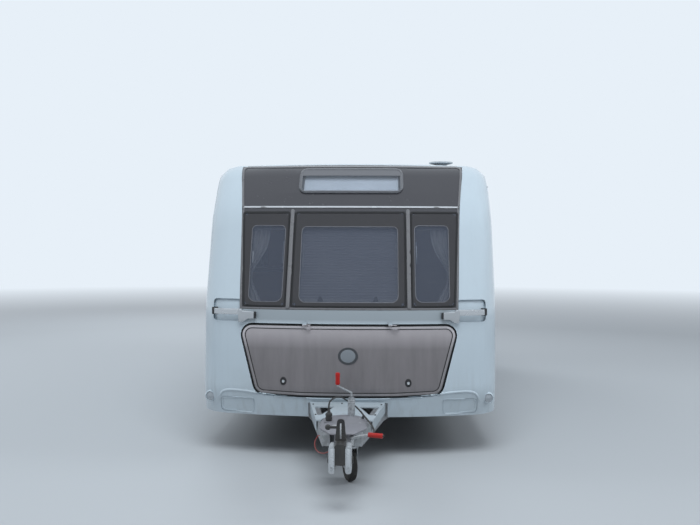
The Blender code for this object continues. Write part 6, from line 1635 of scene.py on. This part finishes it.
milky_acrylic = dress(finish("milky_acrylic", (0.52, 0.55, 0.58), 0.20, coat=0.3), grain=60, depth=0.0002,
                      film=0.3, low=2.0, high=3.2)
for label in ("large", "small"):
    skin_of(f"roof_light_{label}", f"roof_light_dome_{label}", milky_acrylic, 0.004)
    low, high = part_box(f"roof_light_{label}")
    spots = [((x, y, high.z - 0.027), UP) for x in (low.x + 0.018, high.x - 0.018)
             for y in (low.y + 0.08, high.y - 0.08)]
    fasteners(f"roof_light_screws_{label}", spots, 0.0065, bright_zinc, "caravan", 24)
skin_of("roof_aerial", "roof_aerial_dish", milky_acrylic, 0.003)


# Inside
# A plank-patterned floor, dark underneath, and light wood furniture: two facing sofas with cushions, a chest
# with drawers, a kitchen unit with a sink and a hob, and a partition. The gas locker has a pale liner.


def wood(name, light, dark, stretch):
    """Light wood: long wavy grain, with pores in its bump."""
    look = finish(name, light, 0.42, coat=0.1, shine=0.35)
    tree = look.node_tree
    shader = tree.nodes["Principled BSDF"]
    place = tree.nodes.new("ShaderNodeTexCoord").outputs["Object"]
    rings = spread(tree, noise(tree, place, 5.0, 6.0, 0.65, stretch), 0.35, 0.65)
    pores = spread(tree, noise(tree, place, 60.0, 3.0, 0.6, stretch), 0.45, 0.60)
    shade = sum_of(tree, "MULTIPLY_ADD", pores, 0.3, sum_of(tree, "MULTIPLY", rings, 0.7))
    tree.links.new(blended(tree, shade, dark, light), shader.inputs["Base Color"])
    return bumped(look, pores, 0.0002)


oak = wood("oak_front", (0.50, 0.34, 0.19), (0.33, 0.20, 0.10), (1.0, 1.0, 8.0))
oak_flat = wood("oak_top", (0.50, 0.34, 0.19), (0.33, 0.20, 0.10), (1.0, 8.0, 1.0))
vinyl = wood("plank_vinyl", (0.36, 0.30, 0.24), (0.24, 0.19, 0.15), (8.0, 1.0, 1.0))
under_board = dress(finish("under_board", (0.060, 0.062, 0.065), 0.75), grain=90, depth=0.0008, film=0.5,
                    low=0.2, high=0.8)
sofa_cloth = cloth("sofa_cloth", (0.235, 0.225, 0.215), threads=420.0)
liner = dress(finish("locker_liner", (0.44, 0.46, 0.47), 0.55), grain=180, depth=0.0004, film=0.3, low=0.3,
              high=1.2)
skin_of("gas_locker_box", "gas_locker_liner", liner, 0.003)
boards = skin_of("floor", "floor_boards", vinyl)
two_looks(boards, under_board, lambda face: face.normal.z < 0.5)
skin_of("front_chest", "front_chest_shelf", oak_flat, 0.003)
skin_of("kitchen_unit", "kitchen_carcass", oak, 0.002)
skin_of("partition", "partition_wall", oak, 0.002)


def cushion(name, low, high, thin_axis, crown, radius=0.030, cells=20):
    """A foam cushion: a rounded box whose broad faces swell to a crown, softly dented at the corners."""
    deselect()
    bpy.ops.mesh.primitive_cube_add(size=2)
    thing = bpy.context.object
    take(thing)
    bpy.ops.object.mode_set(mode="EDIT")
    bpy.ops.mesh.select_all(action="SELECT")
    bpy.ops.mesh.subdivide(number_cuts=cells - 1)
    bpy.ops.object.mode_set(mode="OBJECT")
    low, high = Vector(low), Vector(high)
    half = (high - low) / 2
    half[thin_axis] -= crown
    flat_axes = [axis for axis in range(3) if axis != thin_axis]
    for vert in thing.data.vertices:
        share = vert.co.copy()
        corner = Vector()
        core = Vector()
        for axis in range(3):
            inner = half[axis] - radius
            reach = abs(share[axis])
            place = inner * min(reach / 0.6, 1.0) + radius * max(0.0, (reach - 0.6) / 0.4)
            corner[axis] = math.copysign(place, share[axis])
            core[axis] = math.copysign(min(place, inner), share[axis])
        beyond = corner - core
        spot = core + beyond.normalized() * radius if beyond.length > 1e-6 else corner
        u, v = (spot[axis] / half[axis] for axis in flat_axes)
        swell = crown * (1 - min(abs(u), 1.0) ** 3.5) * (1 - min(abs(v), 1.0) ** 3.5)
        wrinkle = 0.0016 * math.sin(u * 23 + v * 9) * (abs(u) * abs(v)) ** 2
        spot[thin_axis] += math.copysign(swell, spot[thin_axis]) * min(1.0, abs(share[thin_axis])) + wrinkle
        vert.co = spot
    bpy.ops.object.shade_smooth()
    thing.location = (low + high) / 2
    settle(thing, name, "caravan", sofa_cloth)
    return thing


def drawer_fronts(name, places, look, facing, at, handle_axis):
    """Raised door and drawer fronts on a cabinet, each with a bar handle."""
    fronts, handles = [], []
    for low, bottom, high, top in places:
        fronts.append(plate(rectangle(low, bottom, high, top, 0.008), facing, at, 0.014, 0.003))
        middle, away = (low + high) / 2, (0.026 if facing[0] == "+" else -0.026)
        ends = [(middle - 0.055, 0.0), (middle - 0.052, away), (middle + 0.052, away), (middle + 0.055, 0.0)]
        if handle_axis == "X":
            route = [(across, at + out, top - 0.045) for across, out in ends]
        else:
            route = [(at + out, across, top - 0.045) for across, out in ends]
        handles.append(bar_of([Vector(point) for point in route], 0.009))
    settle(joined(*fronts), f"{name}_fronts", "caravan", look)
    settle(joined(*handles), f"{name}_handles", "caravan", satin_silver)


cream = dress(finish("cream_front", (0.56, 0.53, 0.47), 0.30, coat=0.3), grain=70, depth=0.0001, film=0.08)
SOFA_Y = (-1.688, -0.272)
for side, label in SIDES:
    wall_x, inner_x = side * 1.112, side * 0.580
    xs = sorted((wall_x, inner_x))
    settle(plate(rectangle(SOFA_Y[0], 0.4655, SOFA_Y[1], 0.780, 0.012), "+X", xs[1], xs[1] - xs[0], 0.004),
           f"sofa_base_{label}", "caravan", oak, (f"sofa_{label}",))
    panels = [(SOFA_Y[0] + 0.03 + step * 0.462, 0.520, SOFA_Y[0] + 0.462 + step * 0.462, 0.750)
              for step in range(3)]
    drawer_fronts(f"sofa_{label}", panels, cream, "+X" if side < 0 else "-X", inner_x - side * 0.002, "Y")
    for number in range(2):
        start = SOFA_Y[0] + number * 0.709
        seat = sorted((side * 0.985, side * 0.574))
        cushion(f"seat_cushion_{label}_{number + 1}", (seat[0], start, 0.781),
                (seat[1], start + 0.704, 0.912), 2, 0.014)
        rest = sorted((side * 1.108, side * 0.968))
        cushion(f"back_cushion_{label}_{number + 1}", (rest[0], start + 0.010, 0.800),
                (rest[1], start + 0.694, 1.104), 0, 0.016)
drawer_fronts("front_chest", [(-0.325, 0.490, 0.325, 0.665), (-0.325, 0.675, 0.325, 0.850),
                              (-0.325, 0.860, 0.325, 1.030)], cream, "+Y", -1.296, "X")
kitchen_low, kitchen_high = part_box("kitchen_unit")
stone = dress(finish("worktop_stone", (0.085, 0.085, 0.090), 0.28, coat=0.2), grain=900, depth=0.0001,
              change=0.1, film=0.02)
settle(plate(rectangle(kitchen_low.x, kitchen_low.y - 0.004, kitchen_high.x + 0.018, kitchen_high.y + 0.004,
                       0.012), "+Z", kitchen_high.z + 0.003, 0.032, 0.004), "kitchen_worktop", "caravan",
       stone)
drawer_fronts("kitchen", [(-0.135, 1.150, 0.155, 1.310), (-0.135, 0.510, 0.155, 1.140),
                          (0.170, 1.150, 0.475, 1.310), (0.170, 0.510, 0.475, 1.140),
                          (0.490, 0.510, 0.795, 1.310)], cream, "+X", kitchen_high.x + 0.013, "Y")
bowl = [(0.0, 0.0), (0.0, 0.118), (0.004, 0.140), (0.0065, 0.150), (0.0080, 0.166), (0.0045, 0.172),
        (-0.002, 0.172), (-0.002, 0.0)]
settle(turned(bowl, (-0.860, 0.090, kitchen_high.z + 0.003), UP, 40), "kitchen_sink", "caravan",
       satin_silver)
settle(bar_of(smooth_route([(-1.050, 0.090, kitchen_high.z), (-1.050, 0.090, kitchen_high.z + 0.140),
                            (-1.030, 0.090, kitchen_high.z + 0.185),
                            (-0.980, 0.090, kitchen_high.z + 0.195),
                            (-0.930, 0.090, kitchen_high.z + 0.165)], 0.012), 0.018), "kitchen_tap",
       "caravan", bright_chrome)
burners = []
for x, y, size in ((-0.960, 0.480, 0.045), (-0.760, 0.480, 0.034), (-0.860, 0.650, 0.040)):
    burners.append(turned([(0, 0), (0, size * 1.6), (0.003, size * 1.6), (0.004, size), (0.012, size * 0.9),
                   (0.014, size * 0.6), (0.014, 0)], (x, y, kitchen_high.z + 0.003), UP, 32))
settle(joined(*burners), "kitchen_burners", "caravan", black_moulding)

size = {"cad": [list(corner) for corner in cad_bounds], "visual": [list(corner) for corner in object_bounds()]}
